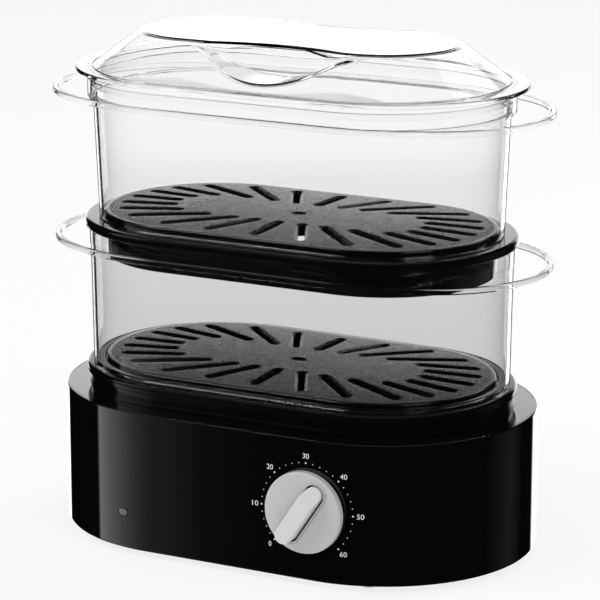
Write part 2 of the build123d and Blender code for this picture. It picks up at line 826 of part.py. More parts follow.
def basket_wall(level, foot_inset_by, shoulder_inset_by):
    """Clear basket wall: an inturned foot, drafted sides and a straight collar at the mouth."""
    foot_outer = rim_radius - foot_inset_by
    shoulder_outer = rim_radius - shoulder_inset_by
    band_low = level + band_level
    top = level + basket_height
    sides = taper(foot_outer, shoulder_outer, level, band_low)
    sides = fillet(rim_edges(sides, level, foot_outer), foot_round)
    collar = slab(rim_radius, band_low, top)
    room = taper(foot_outer - clear_wall, shoulder_outer - clear_wall, level + foot_thickness, band_low)
    room += slab(foot_bore_radius, level, level + foot_thickness)
    room += slab(shoulder_outer - clear_wall, band_low, band_low + clear_wall)
    room += slab(rim_radius - clear_wall, band_low + clear_wall, top)
    return sides + collar - room


def handle_band(level):
    """Clear band round the basket's collar that leaves it at both ends as open loops."""
    reach = rim_radius + band_standoff
    tip_reach = rim_radius + loop_standoff
    band = extrude(winged_oval(reach, tip_reach, loop_taper), band_height)
    gap = winged_oval(reach - band_width, tip_reach - band_width, loop_taper)
    band = fillet(band.edges().filter_by(Axis.Z, reverse=True), band_round)
    band -= extrude(gap, band_height) + slab(rim_radius, 0, band_height)
    return Pos(0, 0, level + band_level) * band


# ---------------------------------------------------------------- lid

def valley(depth, grow):
    """Prism along Y whose section is a smooth valley cut down from the lid's flat top.

    Each flank is two equal arcs, one out of the flat and one into the bottom.
    grow widens the section all round, for the inside of the shell.
    """
    top = dome_level + dome_height
    bottom = top - depth
    half = scoop_half_span
    bend = (half / 2, top - depth / 2)
    lines = []
    for side in (1, -1):
        lines.append(TangentArc((0, bottom), (side * bend[0], bend[1]), tangent=(side, 0)))
        lines.append(TangentArc((side * half, top), (side * bend[0], bend[1]), tangent=(-side, 0)))
        lines.append(Line((side * half, top), (side * half, top + cutter_margin)))
    lines.append(Line((half, top + cutter_margin), (-half, top + cutter_margin)))
    section = make_face(lines)
    if grow > 0:
        section = offset(section, grow)
    prism = extrude(Plane.XZ * section, 2 * lid_flange_radius, both=True)
    return Pos(scoop_shift, 0, 0) * prism


def scoops(grow):
    """Finger scoops in the dome's front and back slopes, with round walls towards its top."""
    deep = valley(scoop_depth, grow)
    low = dome_level - cutter_margin
    high = dome_level + dome_height + 2 * cutter_margin
    wall = post(scoop_wall_radius + grow, low, high)
    offset_y = grip_half_width + scoop_wall_radius
    walls = Pos(scoop_shift, offset_y, 0) * wall + Pos(scoop_shift, -offset_y, 0) * wall
    return deep & walls


def lid():
    """Clear lid: a skirt in the basket's mouth, a tabbed flange and a dome with two finger scoops."""
    skirt_radius_outer = rim_radius - clear_wall - lid_skirt_play
    skirt_low = lid_level - lid_skirt_depth
    dome_top = dome_level + dome_height
    skirt = slab(skirt_radius_outer, skirt_low, lid_level)
    drum = slab(rim_radius, lid_level, lid_flange_level)
    flange = winged_oval(lid_flange_radius, rim_radius + lid_tab_overhang, lid_tab_taper)
    flange = extrude(flange, lid_flange_thickness)
    flange = Pos(0, 0, lid_flange_level) * fillet(flange.edges().filter_by(Axis.Z, reverse=True), lid_flange_round)
    dome = taper(dome_foot_radius, dome_top_radius, dome_level, dome_top)
    dome = fillet(rim_edges(dome, dome_top, dome_top_radius), dome_top_round)
    dome = dome - scoops(0)

    slope = atan2(dome_height, dome_foot_radius - dome_top_radius)
    side_step = clear_wall / sin(slope)
    fall = dome_height / (dome_foot_radius - dome_top_radius)
    void_radius = skirt_radius_outer - clear_wall
    void_level = dome_level + (dome_foot_radius - side_step - void_radius) * fall
    roof = dome_top - clear_wall
    roof_radius = dome_foot_radius - side_step - (roof - dome_level) / fall
    void = taper(void_radius, roof_radius, void_level, roof)
    void = void - scoops(clear_wall)
    void += slab(void_radius, skirt_low, void_level)
    return skirt + drum + flange + dome - void


# ---------------------------------------------------------------- export

nodes = {
    "housing_shell": housing_shell(),
    "deck_plate": deck_plate(),
    "water_tank": water_tank(),
    "heater_gasket": heater_gasket(),
    "heater_plate": heater_plate(),
    "heating_element": heating_element(),
    "heater_screws": heater_screws(),
    "thermostat": thermostat(),
    "thermal_fuse": thermal_fuse(),
    "steam_ring": steam_ring(),
    "timer_case": timer_case(),
    "timer_bell": timer_bell(),
    "timer_screws": timer_screws(),
    "indicator_lens": indicator_lens(),
    "lamp_holder": lamp_holder(),
    "indicator_lamp": indicator_lamp(),
    "bottom_cover": bottom_cover(),
    "cover_screws": cover_screws(),
    "feet": feet(),
    "terminal_block": terminal_block(),
    "cord_gland": cord_gland(),
    "cord_clamp": cord_clamp(),
    "clamp_screws": clamp_screws(),
    "timer_shaft": timer_shaft(),
    "timer_knob": timer_knob(),
    "knob_trim": knob_trim(),
    "knob_grip": knob_grip(),
    "drip_tray": drip_tray(),
    "lower_floor": basket_floor(lower_floor_level),
    "lower_basket": basket_wall(lower_wall_level, lower_foot_inset, lower_shoulder_inset),
    "lower_handles": handle_band(lower_wall_level),
    "upper_floor": basket_floor(upper_floor_level),
    "upper_basket": basket_wall(upper_wall_level, upper_foot_inset, upper_shoulder_inset),
    "upper_handles": handle_band(upper_wall_level),
    "lid": lid(),
}

os.makedirs("parts", exist_ok=True)
for name, shape in nodes.items():
    export_step(shape, f"parts/{name}.step")
    print(name, "volume", round(shape.volume))
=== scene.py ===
from math import asin, atan2, cos, pi, radians, sin, sqrt

import bmesh
import bpy
import numpy as np
from mathutils import Matrix, Vector
from mathutils.geometry import delaunay_2d_cdt


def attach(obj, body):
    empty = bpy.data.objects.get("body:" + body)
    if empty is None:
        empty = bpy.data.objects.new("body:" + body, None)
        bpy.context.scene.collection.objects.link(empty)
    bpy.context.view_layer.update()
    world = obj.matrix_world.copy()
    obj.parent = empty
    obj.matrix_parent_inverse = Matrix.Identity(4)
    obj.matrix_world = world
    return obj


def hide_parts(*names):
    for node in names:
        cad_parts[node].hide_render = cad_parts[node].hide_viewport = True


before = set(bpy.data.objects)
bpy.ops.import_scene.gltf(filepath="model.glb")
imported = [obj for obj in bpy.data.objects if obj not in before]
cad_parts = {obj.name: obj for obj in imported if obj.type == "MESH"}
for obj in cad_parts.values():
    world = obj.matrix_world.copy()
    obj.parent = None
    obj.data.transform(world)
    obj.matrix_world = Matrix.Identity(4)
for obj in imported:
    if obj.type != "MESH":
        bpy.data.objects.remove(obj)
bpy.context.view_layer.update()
print("frame loaded:", len(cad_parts), "nodes")

mm = 0.001
halfRun = 63.0          # half the straight part of every oval, in mm


# Outlines and grids are in mm until a piece is made.

def ovalStations(endSteps, runSteps, half=halfRun):
    # Counter-clockwise round an oval: the centre slides along x between -half and half,
    # and the unit normal turns half a circle while the centre waits at either end.
    turn = np.linspace(-pi / 2, pi / 2, endSteps + 1)
    run = np.linspace(half, -half, runSteps + 1)[1:-1]
    flat = np.full(run.size, pi / 2)
    angle = np.concatenate([turn, flat, turn + pi, flat + pi])
    centre = np.concatenate([np.full(turn.size, half), run, np.full(turn.size, -half), -run])
    return centre, np.cos(angle), np.sin(angle)


def sweep(reach, height, stations):
    # Point = centre + reach times normal, lifted to height; both are rows by stations.
    centre, nx, ny = stations
    reach = np.broadcast_to(reach, (len(reach), centre.size))
    height = np.broadcast_to(height, (len(height), centre.size))
    return np.stack([centre + reach * nx, reach * ny, height], axis=2)


def wingedReach(stations, reach, tipReach, taper):
    # Outline drawn out at both ends: a tip circle round a point ahead of the end, met by flank
    # circles whose centres lie across the middle line. The distance is the root of each circle's
    # equation along the station's normal.
    along, across = np.abs(stations[1]), np.abs(stations[2])
    tipRadius = reach - taper
    run = tipReach - tipRadius
    flank = (run ** 2 + reach ** 2 - tipRadius ** 2) / (2 * taper)
    lag = flank - reach
    slope = asin(lag / (flank - tipRadius))
    join = atan2(flank * sin(slope) - lag, flank * cos(slope))
    tip = run * along + np.sqrt(np.maximum(tipRadius ** 2 - (run * across) ** 2, 0))
    side = -lag * across + np.sqrt((lag * across) ** 2 - lag ** 2 + flank ** 2)
    return np.where(np.arctan2(across, along) < join, tip, side)


def roundedPath(corners, steps=4, closed=True, count=1):
    # Corners are (reach, height, radius). Each corner becomes the arc of its circle between the
    # two points where it touches the sides: centre = corner + half-way direction * radius / sin(half).
    # An open path starts at its first corner and ends at its last.
    spots = np.stack([
        np.stack([np.broadcast_to(np.asarray(corner[k], float), (count,)) for k in (0, 1)], -1)
        for corner in corners])
    radius = np.array([corner[2] for corner in corners], float)[:, None]
    back, ahead = np.roll(spots, 1, 0) - spots, np.roll(spots, -1, 0) - spots
    backSize, aheadSize = np.linalg.norm(back, axis=2), np.linalg.norm(ahead, axis=2)
    back, ahead = back / backSize[..., None], ahead / aheadSize[..., None]
    half = np.arccos(np.clip((back * ahead).sum(2), -1, 1)) / 2
    radius = np.minimum(radius, 0.48 * np.minimum(backSize, aheadSize) * np.tan(half))
    touch = (radius / np.tan(half))[..., None]
    middle = back + ahead
    middle = middle / np.linalg.norm(middle, axis=2)[..., None] * (radius / np.sin(half))[..., None]
    start, stop = back * touch - middle, ahead * touch - middle
    turn = (pi - 2 * half)[:, None, :, None]
    share = np.linspace(0, 1, steps + 1)[None, :, None, None]
    arc = (np.sin((1 - share) * turn) * start[:, None] + np.sin(share * turn) * stop[:, None]) / np.sin(turn)
    rows = (spots + middle)[:, None] + arc
    if not closed:
        rows[0], rows[-1] = spots[0], spots[-1]
    rows = rows.reshape(-1, count, 2)
    if not closed:
        rows = rows[steps:len(rows) - steps]
    return rows[..., 0], rows[..., 1]


def gridPatch(grid, closedUp=False, material=0):
    # Four-sided faces between neighbouring rows and stations.
    rows, stations = grid.shape[:2]
    index = np.arange(rows * stations).reshape(rows, stations)
    low, high = (index, np.roll(index, -1, 0)) if closedUp else (index[:-1], index[1:])
    faces = np.stack([low, np.roll(low, -1, 1), np.roll(high, -1, 1), high], 2).reshape(-1, 4)
    return grid.reshape(-1, 3), faces, material


def closedRing(corners, stations, steps=6, count=1, onto=lambda points: points):
    # One closed profile carried round the stations, then put in its place on the object.
    return gridPatch(onto(sweep(*roundedPath(corners, steps, count=count), stations)), closedUp=True)


def headings(outline):
    # Unit directions from the axis to an outline's points.
    return outline / np.linalg.norm(outline, axis=1)[:, None]


def aroundAxis(path, heading):
    # A profile of (reach, height) carried round the axis along the headings.
    reach, height = path
    lifted = np.broadcast_to(height, (len(height), len(heading)))
    return np.stack([reach * heading[:, 0], reach * heading[:, 1], lifted], 2)


def flatPatch(loops, isHole, height, up=True, material=0, spots=()):
    # Triangles between flat closed loops and loose spots; one whose middle is in a hole is left out.
    points = [Vector((float(x), float(y))) for loop in loops for x, y in loop]
    edges, first = [], 0
    for loop in loops:
        edges += [(first + i, first + (i + 1) % len(loop)) for i in range(len(loop))]
        first += len(loop)
    points += [Vector((float(x), float(y))) for x, y in spots]
    flat, _, faces, *_ = delaunay_2d_cdt(points, edges, [], 0, 1e-7)
    flat = np.array([tuple(point) for point in flat])
    faces = np.array([face for face in faces if len(face) == 3])
    faces = faces[~isHole(flat[faces].mean(1))]
    a, b, c = (flat[faces[:, k]] for k in range(3))
    area = np.cross(b - a, c - a)
    faces = faces[np.abs(area) > 1e-9]
    area = area[np.abs(area) > 1e-9]
    turned = (area > 0) != up
    faces[turned] = faces[turned][:, ::-1]
    return np.column_stack([flat, np.full(len(flat), height)]), faces, material


def link(obj):
    bpy.context.scene.collection.objects.link(obj)
    return obj


def weldMesh(mesh, distance, shortest=None):
    # Merges doubled points, and takes out faces thinner than the shortest length.
    welded = bmesh.new()
    welded.from_mesh(mesh)
    bmesh.ops.remove_doubles(welded, verts=welded.verts, dist=distance)
    if shortest:
        bmesh.ops.dissolve_degenerate(welded, edges=welded.edges, dist=shortest)
    welded.to_mesh(mesh)
    welded.free()


def finishPiece(name, mesh, finishNames, body, nodes, sharp):
    # Faces are smooth, but sharp where two of them meet at more than the angle. Large faces keep
    # their own direction, so that a rounded edge doesn't bend their shading.
    for finish in finishNames:
        mesh.materials.append(finishes[finish])
    mesh.shade_smooth()
    mesh.set_sharp_from_angle(angle=radians(sharp))
    obj = link(bpy.data.objects.new(name, mesh))
    weighted = obj.modifiers.new("weightedNormals", "WEIGHTED_NORMAL")
    weighted.keep_sharp = True
    weighted.weight = 100
    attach(obj, body)
    if nodes:
        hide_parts(*nodes)


def makePiece(name, patches, finishNames, body, nodes, sharp=40, weld=2e-6):
    # Joins (points, faces, material number) patches into one mesh and welds their shared edges.
    points = np.concatenate([patch[0] for patch in patches]) * mm
    corners, sizes, numbers, first = [], [], [], 0
    for spots, faces, number in patches:
        corners.append((faces + first).ravel())
        sizes.append(np.full(len(faces), faces.shape[1]))
        numbers.append(np.full(len(faces), number))
        first += len(spots)
    corners, sizes, numbers = (np.concatenate(part).astype(np.int32) for part in (corners, sizes, numbers))
    starts = np.concatenate([[0], np.cumsum(sizes)[:-1]]).astype(np.int32)
    mesh = bpy.data.meshes.new(name)
    mesh.vertices.add(len(points))
    mesh.vertices.foreach_set("co", points.astype(np.float32).ravel())
    mesh.loops.add(len(corners))
    mesh.loops.foreach_set("vertex_index", corners)
    mesh.polygons.add(len(sizes))
    mesh.polygons.foreach_set("loop_start", starts)
    mesh.polygons.foreach_set("material_index", numbers)
    mesh.update(calc_edges=True)
    weldMesh(mesh, weld, 1e-7)
    finishPiece(name, mesh, finishNames, body, nodes, sharp)


def dressCopy(node, finish, body):
    # A welded, smooth copy of a solid's mesh, which stands in for it.
    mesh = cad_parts[node].data.copy()
    weldMesh(mesh, 1e-6)
    mesh.materials.clear()
    finishPiece(node + "Dressed", mesh, [finish], body, (node,), 35)


# Shader nodes and the effects that several finishes share.

def feed(tree, node, inputs):
    # An input is a value, or another node's output.
    for name, value in inputs.items():
        if isinstance(value, bpy.types.NodeSocket):
            tree.links.new(value, node.inputs[name])
        else:
            node.inputs[name].default_value = value


def addNode(tree, kind, settings=None, inputs=None):
    node = tree.nodes.new("ShaderNode" + kind)
    for name, value in (settings or {}).items():
        setattr(node, name, value)
    feed(tree, node, inputs or {})
    return node


def calc(tree, operation, first, second=0.0, third=0.0):
    return addNode(tree, "Math", {"operation": operation}, {0: first, 1: second, 2: third}).outputs[0]


def mixValue(tree, share, first, second):
    # First where share is 0, second where it is 1.
    return addNode(tree, "Mix", {"data_type": "FLOAT"}, {0: share, 2: first, 3: second}).outputs[0]


def mixColour(tree, share, first, second):
    shades = {0: share, 6: (*first, 1.0), 7: (*second, 1.0)}
    return addNode(tree, "Mix", {"data_type": "RGBA"}, shades).outputs[2]


def mixShader(tree, share, first, second):
    return addNode(tree, "MixShader", None, {0: share, 1: first.outputs[0], 2: second.outputs[0]})


def mapRange(tree, value, start, stop, high=1.0, kind="LINEAR"):
    # 0 at start, high at stop, and held outside them.
    ends = {0: value, 1: start, 2: stop, 3: 0.0, 4: high}
    return addNode(tree, "MapRange", {"interpolation_type": kind}, ends).outputs[0]


def noise(tree, where, scale, detail, roughness=0.5):
    values = {"Vector": where, "Scale": scale, "Detail": detail, "Roughness": roughness}
    return addNode(tree, "TexNoise", None, values).outputs[0]


def grey(value):
    return (value, value, value, 1.0)


def rampNode(tree, share, stops):
    # Stops are (place, brightness).
    ramp = addNode(tree, "ValToRGB", None, {0: share})
    marks = ramp.color_ramp.elements
    while len(marks) < len(stops):
        marks.new(1.0)
    for mark, (place, value) in zip(marks, stops):
        mark.position = place
        mark.color = grey(value)
    return ramp.outputs[0]


def makeGroup(name, inputs, outputs):
    # A shared effect: inputs are (name, kind, starting value), outputs are names of values.
    tree = bpy.data.node_groups.new(name, "ShaderNodeTree")
    for label, kind, value in inputs:
        socket = tree.interface.new_socket(label, in_out="INPUT", socket_type="NodeSocket" + kind)
        if value is not None:
            socket.default_value = value
    for label in outputs:
        tree.interface.new_socket(label, in_out="OUTPUT", socket_type="NodeSocketFloat")
    return tree, tree.nodes.new("NodeGroupInput").outputs, tree.nodes.new("NodeGroupOutput")


def mouldedSkin():
    # Gloss that is never quite even: broad cloudy patches and fine specks change the roughness,
    # and long shallow waves lie under it. Roughness = base + spread * (patches and specks).
    tree, given, made = makeGroup("mouldedSkin", [("Vector", "Vector", None), ("Base", "Float", 0.05),
        ("Spread", "Float", 0.04), ("Wave size", "Float", 40.0)], ["Roughness", "Height", "Mask"])
    patches = noise(tree, given["Vector"], 28.0, 3.0, 0.55)
    specks = noise(tree, given["Vector"], 900.0, 1.0)
    waves = noise(tree, given["Vector"], given["Wave size"], 1.0)
    cloudy = calc(tree, "MULTIPLY", calc(tree, "SMOOTH_MIN", patches, 0.75, 0.1), 0.65)
    mixed = calc(tree, "MULTIPLY_ADD", specks, 0.35, cloudy)
    roughness = calc(tree, "MULTIPLY_ADD", mixed, given["Spread"], given["Base"])
    feed(tree, made, {"Roughness": roughness, "Height": waves, "Mask": mixed})
    return tree


def sparkGrain():
    # Fine leathery grain of a spark-eroded mould: rounded cells with a little noise on top.
    tree, given, made = makeGroup("sparkGrain", [("Vector", "Vector", None), ("Scale", "Float", 1100.0)],
        ["Height", "Mask"])
    cells = addNode(tree, "TexVoronoi", {"feature": "SMOOTH_F1"},
        {"Vector": given["Vector"], "Scale": given["Scale"], "Smoothness": 0.7})
    rough = noise(tree, given["Vector"], calc(tree, "MULTIPLY", given["Scale"], 0.4), 3.0)
    height = calc(tree, "MULTIPLY_ADD", rough, 0.6, cells.outputs[0])
    feed(tree, made, {"Height": height, "Mask": rough})
    return tree


def brushedMetal():
    # Hair-fine lines: noise stretched along x of the given vector, in two widths.
    tree, given, made = makeGroup("brushedMetal", [("Vector", "Vector", None), ("Length", "Float", 0.02)],
        ["Height", "Mask"])
    stretch = addNode(tree, "CombineXYZ", None, {0: given["Length"], 1: 1.0, 2: 1.0}).outputs[0]
    factors = {0: given["Vector"], 1: stretch}
    drawn = addNode(tree, "VectorMath", {"operation": "MULTIPLY"}, factors).outputs[0]
    broad = calc(tree, "MULTIPLY", noise(tree, drawn, 1400.0, 1.0), 0.4)
    mixed = calc(tree, "MULTIPLY_ADD", noise(tree, drawn, 5200.0, 2.0), 0.6, broad)
    feed(tree, made, {"Height": mixed, "Mask": mixed})
    return tree


def clearEdgePaintedShade():
    # Painted shade: darkening towards the edge of a clear wall, standing in for the light lost along it.
    # The mask is the facing value of the surface, run through a smooth step from start to full, times the
    # strength.
    tree, given, made = makeGroup("clearEdgePaintedShade", [("Facing", "Float", 0.0), ("Start", "Float", 0.78),
        ("Full", "Float", 0.95), ("Strength", "Float", 1.0)], ["Mask"])
    step = mapRange(tree, given["Facing"], given["Start"], given["Full"], kind="SMOOTHSTEP")
    feed(tree, made, {"Mask": calc(tree, "MULTIPLY", step, given["Strength"])})
    return tree


# The rim group gives the mask of the painted shade at the edges of clear walls.
groups = {"skin": mouldedSkin(), "grain": sparkGrain(), "brushed": brushedMetal(), "rim": clearEdgePaintedShade()}


def place(tree, name, inputs):
    return addNode(tree, "Group", {"node_tree": groups[name]}, inputs).outputs


def emptyTree(owner):
    owner.use_nodes = True
    owner.node_tree.nodes.clear()
    return owner.node_tree


finishes = {}
clearIndex = 1.27       # of the clear walls
coatIndex = 1.5


def newFinish(name, fixed):
    # A principled material, kept under its name; fixed gives the sockets that are the same all over.
    finishes[name] = bpy.data.materials.new(name)
    tree = emptyTree(finishes[name])
    shader = addNode(tree, "BsdfPrincipled", None, fixed)
    out = addNode(tree, "OutputMaterial", None, {"Surface": shader.outputs[0]})
    where = addNode(tree, "TexCoord").outputs["Object"]
    return tree, shader, out, where


def bumped(tree, height, strength, distance):
    values = {"Height": height, "Strength": strength, "Distance": distance}
    return addNode(tree, "Bump", None, values).outputs[0]


def glossPlastic(name, dark, light, base, spread, wave=(0.25, 0.00002), coat=0.0, ior=1.5, grain=None,
        shine=0.5):
    # Moulded plastic: colour drifts between two shades with the skin's mask.
    tree, shader, _, where = newFinish(name, {"IOR": ior, "Specular IOR Level": shine,
        "Coat Weight": coat, "Coat Roughness": 0.03, "Coat IOR": coatIndex})
    skin = place(tree, "skin", {"Vector": where, "Base": base, "Spread": spread, "Wave size": 38.0})
    height = skin["Height"]
    if grain:
        rough = place(tree, "grain", {"Vector": where, "Scale": grain["scale"]})
        height = calc(tree, "MULTIPLY_ADD", rough["Height"], grain["share"], height)
    feed(tree, shader, {"Base Color": mixColour(tree, skin["Mask"], dark, light),
        "Roughness": skin["Roughness"], "Normal": bumped(tree, height, *wave)})


def clearPlastic(name, tint, edge, rim, roughness, spread):
    # Clear moulded plastic, with painted shade: a dark line in the edge colour where the wall is seen
    # along its own thickness. Light meant for what is inside passes straight through. Rim is (start, full,
    # strength) of that painted shade.
    tree, shader, out, where = newFinish(name, {"IOR": clearIndex, "Transmission Weight": 1.0})
    facing = addNode(tree, "LayerWeight", None, {"Blend": 0.5}).outputs["Facing"]
    mask = place(tree, "rim", {"Facing": facing, "Start": rim[0], "Full": rim[1], "Strength": rim[2]})["Mask"]
    skin = place(tree, "skin", {"Vector": where, "Base": roughness, "Spread": spread, "Wave size": 30.0})
    # The base colour turns to the edge colour by the mask: painted shade at the wall's edges.
    feed(tree, shader, {"Base Color": mixColour(tree, mask, tint, edge), "Roughness": skin["Roughness"],
        "Normal": bumped(tree, skin["Height"], 0.12, 0.00002)})
    rays = addNode(tree, "LightPath").outputs
    passing = addNode(tree, "BsdfTransparent", None, {"Color": (*tint, 1.0)})
    # Painted shade: a dark diffuse shader mixed in by the same mask.
    line = addNode(tree, "BsdfDiffuse", None, {"Color": (*edge, 1.0)})
    share = calc(tree, "MAXIMUM", rays["Is Shadow Ray"], rays["Is Diffuse Ray"])
    mixed = mixShader(tree, share, mixShader(tree, mask, shader, line), passing)
    feed(tree, out, {"Surface": mixed.outputs[0]})


def metal(name, dark, light, base, spread, along=None, metallic=1.0, wave=(0.2, 0.00002), coat=0.0):
    # Metal or metal-look paint. Along gives the angle and length of its brushed lines.
    fixed = {"Metallic": metallic, "Coat Weight": coat, "Coat Roughness": 0.08}
    tree, shader, _, where = newFinish(name, fixed)
    if along:
        turned = addNode(tree, "Mapping", None, {"Vector": where, "Rotation": along["rotation"]}).outputs[0]
        lines = place(tree, "brushed", {"Vector": turned, "Length": along["length"]})
    else:
        lines = place(tree, "skin", {"Vector": where, "Base": 0.0, "Spread": 1.0, "Wave size": 60.0})
    feed(tree, shader, {"Base Color": mixColour(tree, lines["Mask"], dark, light),
        "Roughness": calc(tree, "MULTIPLY_ADD", lines["Mask"], spread, base),
        "Normal": bumped(tree, lines["Height"], *wave)})


pointerAngle = 236.5    # degrees from the dial's right to the bar's tip, when the timer is off

glossPlastic("pianoBlack", (0.0012, 0.0012, 0.0014), (0.0028, 0.0028, 0.0031), 0.035, 0.04, (0.12, 0.00002),
    coat=1.0, ior=1.55)
glossPlastic("trayBlack", (0.0012, 0.0012, 0.0014), (0.003, 0.003, 0.0033), 0.09, 0.06, (0.2, 0.00003))
glossPlastic("plateBlack", (0.002, 0.002, 0.0022), (0.005, 0.005, 0.0053), 0.22, 0.10, (0.5, 0.00005),
    grain={"scale": 1300.0, "share": 0.8}, shine=0.08)
glossPlastic("underBlack", (0.006, 0.006, 0.0065), (0.014, 0.014, 0.0145), 0.34, 0.14, (0.5, 0.00005),
    grain={"scale": 1000.0, "share": 0.6})
glossPlastic("timerPlastic", (0.42, 0.40, 0.36), (0.55, 0.53, 0.48), 0.4, 0.1)
glossPlastic("footRubber", (0.018, 0.018, 0.018), (0.035, 0.035, 0.035), 0.62, 0.2, (0.6, 0.00008),
    grain={"scale": 700.0, "share": 0.5})
glossPlastic("sealRubber", (0.36, 0.36, 0.35), (0.5, 0.5, 0.49), 0.45, 0.15)
glossPlastic("dialInk", (0.70, 0.71, 0.71), (0.84, 0.84, 0.84), 0.35, 0.15, (0.2, 0.00001))
# Smoked lens tint, made light enough to stand in for the glint on it: partly real tint, partly painted
# reflection.
glossPlastic("lensSmokeAndGlint", (0.115, 0.10, 0.105), (0.17, 0.155, 0.16), 0.10, 0.06, coat=0.5)
# Clear finishes: tint, then the colour of the painted edge shade, then where that shade starts, is full and
# how strong it is.
clearPlastic("clearLower", (0.925, 0.93, 0.935), (0.008, 0.008, 0.009), (0.83, 0.90, 0.9), 0.0, 0.02)
clearPlastic("clearUpper", (0.982, 0.985, 0.987), (0.010, 0.010, 0.011), (0.84, 0.91, 0.9), 0.0, 0.02)
clearPlastic("clearLid", (0.982, 0.985, 0.987), (0.03, 0.03, 0.032), (0.84, 0.92, 0.6), 0.0, 0.02)
clearPlastic("clearLamp", (0.95, 0.90, 0.80), (0.3, 0.2, 0.1), (0.8, 1.0, 0.5), 0.02, 0.05)
metal("knobSilver", (0.70, 0.71, 0.72), (0.80, 0.81, 0.82), 0.28, 0.10, metallic=0.3, coat=0.3)
metal("gripSilver", (0.80, 0.81, 0.82), (0.96, 0.96, 0.97), 0.26, 0.16, metallic=0.25, wave=(0.35, 0.00002),
    along={"rotation": (0, radians(pointerAngle), 0), "length": 0.015})
metal("brightTrim", (0.84, 0.85, 0.86), (0.94, 0.94, 0.95), 0.14, 0.10, metallic=0.6)
metal("steel", (0.48, 0.48, 0.47), (0.62, 0.62, 0.61), 0.24, 0.16)
metal("brass", (0.62, 0.44, 0.18), (0.74, 0.54, 0.26), 0.24, 0.2)
metal("castMetal", (0.38, 0.38, 0.39), (0.54, 0.54, 0.55), 0.38, 0.2, wave=(0.5, 0.00006))
print("finishes made:", len(finishes))


# Base: wall and deck, with the hairline seam between them.
base = {"reach": 102.0, "wall": 3.0, "low": 4.0, "deck": 98.5, "deckUnder": 96.0, "mouth": 77.8,
        "lowRound": 2.6, "topRound": 1.2, "seam": 100.0, "seamTop": 0.12, "seamFoot": 0.1, "seamDepth": 0.3}


def housingPatches():
    # One closed ring: outer wall, rolled top edge, hairline seam, deck, tank mouth, inner wall.
    deck, seam, inner = base["deck"], base["seam"], base["reach"] - base["wall"]
    seamFloor = deck - base["seamDepth"]
    corners = [
        (base["reach"], base["low"], base["lowRound"]), (base["reach"], deck, base["topRound"]),
        (seam + base["seamTop"], deck, 0.08), (seam + base["seamFoot"], seamFloor, 0.04),
        (seam - base["seamFoot"], seamFloor, 0.04), (seam - base["seamTop"], deck, 0.08),
        (base["mouth"], deck, 0.5), (base["mouth"], base["deckUnder"], 0.3),
        (inner, base["deckUnder"], 0.3), (inner, base["low"], 0.4)]
    return [closedRing(corners, ovalStations(96, 40))]


makePiece("baseShell", housingPatches(), ["pianoBlack"], "base", ("housing_shell", "deck_plate"))
print("base made")


# Timer knob and dial.
dial = {"x": 58.0, "z": 51.0, "numbersRadius": 36.7, "digitHeight": 3.4, "digitWidth": 2.05, "pairGap": 0.4,
        "dotsRadius": 32.0, "bigDot": 0.6, "smallDot": 0.34, "ink": 0.09,
        "startAngle": 225, "sweepAngle": 270}
knob = {"radius": 27.2, "low": 0.6, "rim": 5.5, "crown": 0.9, "edge": 1.0, "faceInset": 4, "pocketFloor": 3.9,
        "pocketHalf": 16.0, "pocketRadius": 8.5, "mouthRound": 0.25, "beadTop": 6.9, "beadWidth": 1.5,
        "beadPlay": 0.05, "beadRound": 0.7, "hub": 6.0}
grip = {"half": 16.4, "radius": 5.6, "top": 16.0, "edge": 1.0, "edgeInset": 2.2, "dimple": 17.0,
        "dimpleRadius": 0.9, "dimpleDepth": 0.4, "tail": -11.0, "tailFall": 0.72}


def onDial(points):
    # Across, up and out of the dial to x, z and -y, turned about the knob's axis to the pointer.
    turnCos, turnSin = cos(radians(pointerAngle)), sin(radians(pointerAngle))
    across, up, out = (points[..., k] for k in range(3))
    x = dial["x"] + across * turnCos - up * turnSin
    return np.stack([x, -base["reach"] - out, dial["z"] + across * turnSin + up * turnCos], -1)


def pocketStations():
    # The oval pocket that the grip stands in.
    return ovalStations(48, 24, knob["pocketHalf"])


def crownHeight(distance):
    # Face of the knob: a shallow dome from the middle to the rim.
    return knob["rim"] + knob["crown"] * (1 - (distance / knob["radius"]) ** 2)


def knobPatches():
    # Rows run from the back, round the rim and over the crowned face to the pocket, down its wall
    # and in along its floor. On the face a row lies between the pocket's outline and the rim circle.
    stations = pocketStations()
    radius, pocketRadius, mouthRound = knob["radius"], knob["pocketRadius"], knob["mouthRound"]
    pocket = sweep([[pocketRadius + mouthRound]], [[0.0]], stations)[0]
    faceStart = radius - knob["faceInset"]
    side = roundedPath([(knob["hub"], knob["low"], 0), (radius, knob["low"], 0.4),
        (radius, crownHeight(radius), knob["edge"]), (faceStart, crownHeight(faceStart), 0)], 8, closed=False)
    rim = aroundAxis(side, headings(pocket[:, :2]))
    share = np.linspace(0, 1, 22)[1:, None, None]
    face = (1 - share) * rim[-1][None, :, :2] + share * pocket[None, :, :2]
    faceHeight = crownHeight(np.linalg.norm(face, axis=2))
    face = np.concatenate([face, faceHeight[..., None]], 2)
    corner = np.linspace(0, pi / 2, 5)[1:, None]
    wallReach = pocketRadius + mouthRound * (1 - np.sin(corner)) + 0 * faceHeight[-1]
    wall = sweep(wallReach, faceHeight[-1] - mouthRound * (1 - np.cos(corner)), stations)
    bottom = sweep([[pocketRadius], [4.0], [0.0]], np.full((3, 1), knob["pocketFloor"]), stations)
    return [gridPatch(onDial(np.concatenate([rim, face, wall]))),
        gridPatch(onDial(np.concatenate([wall[-1:], bottom])), material=1)]


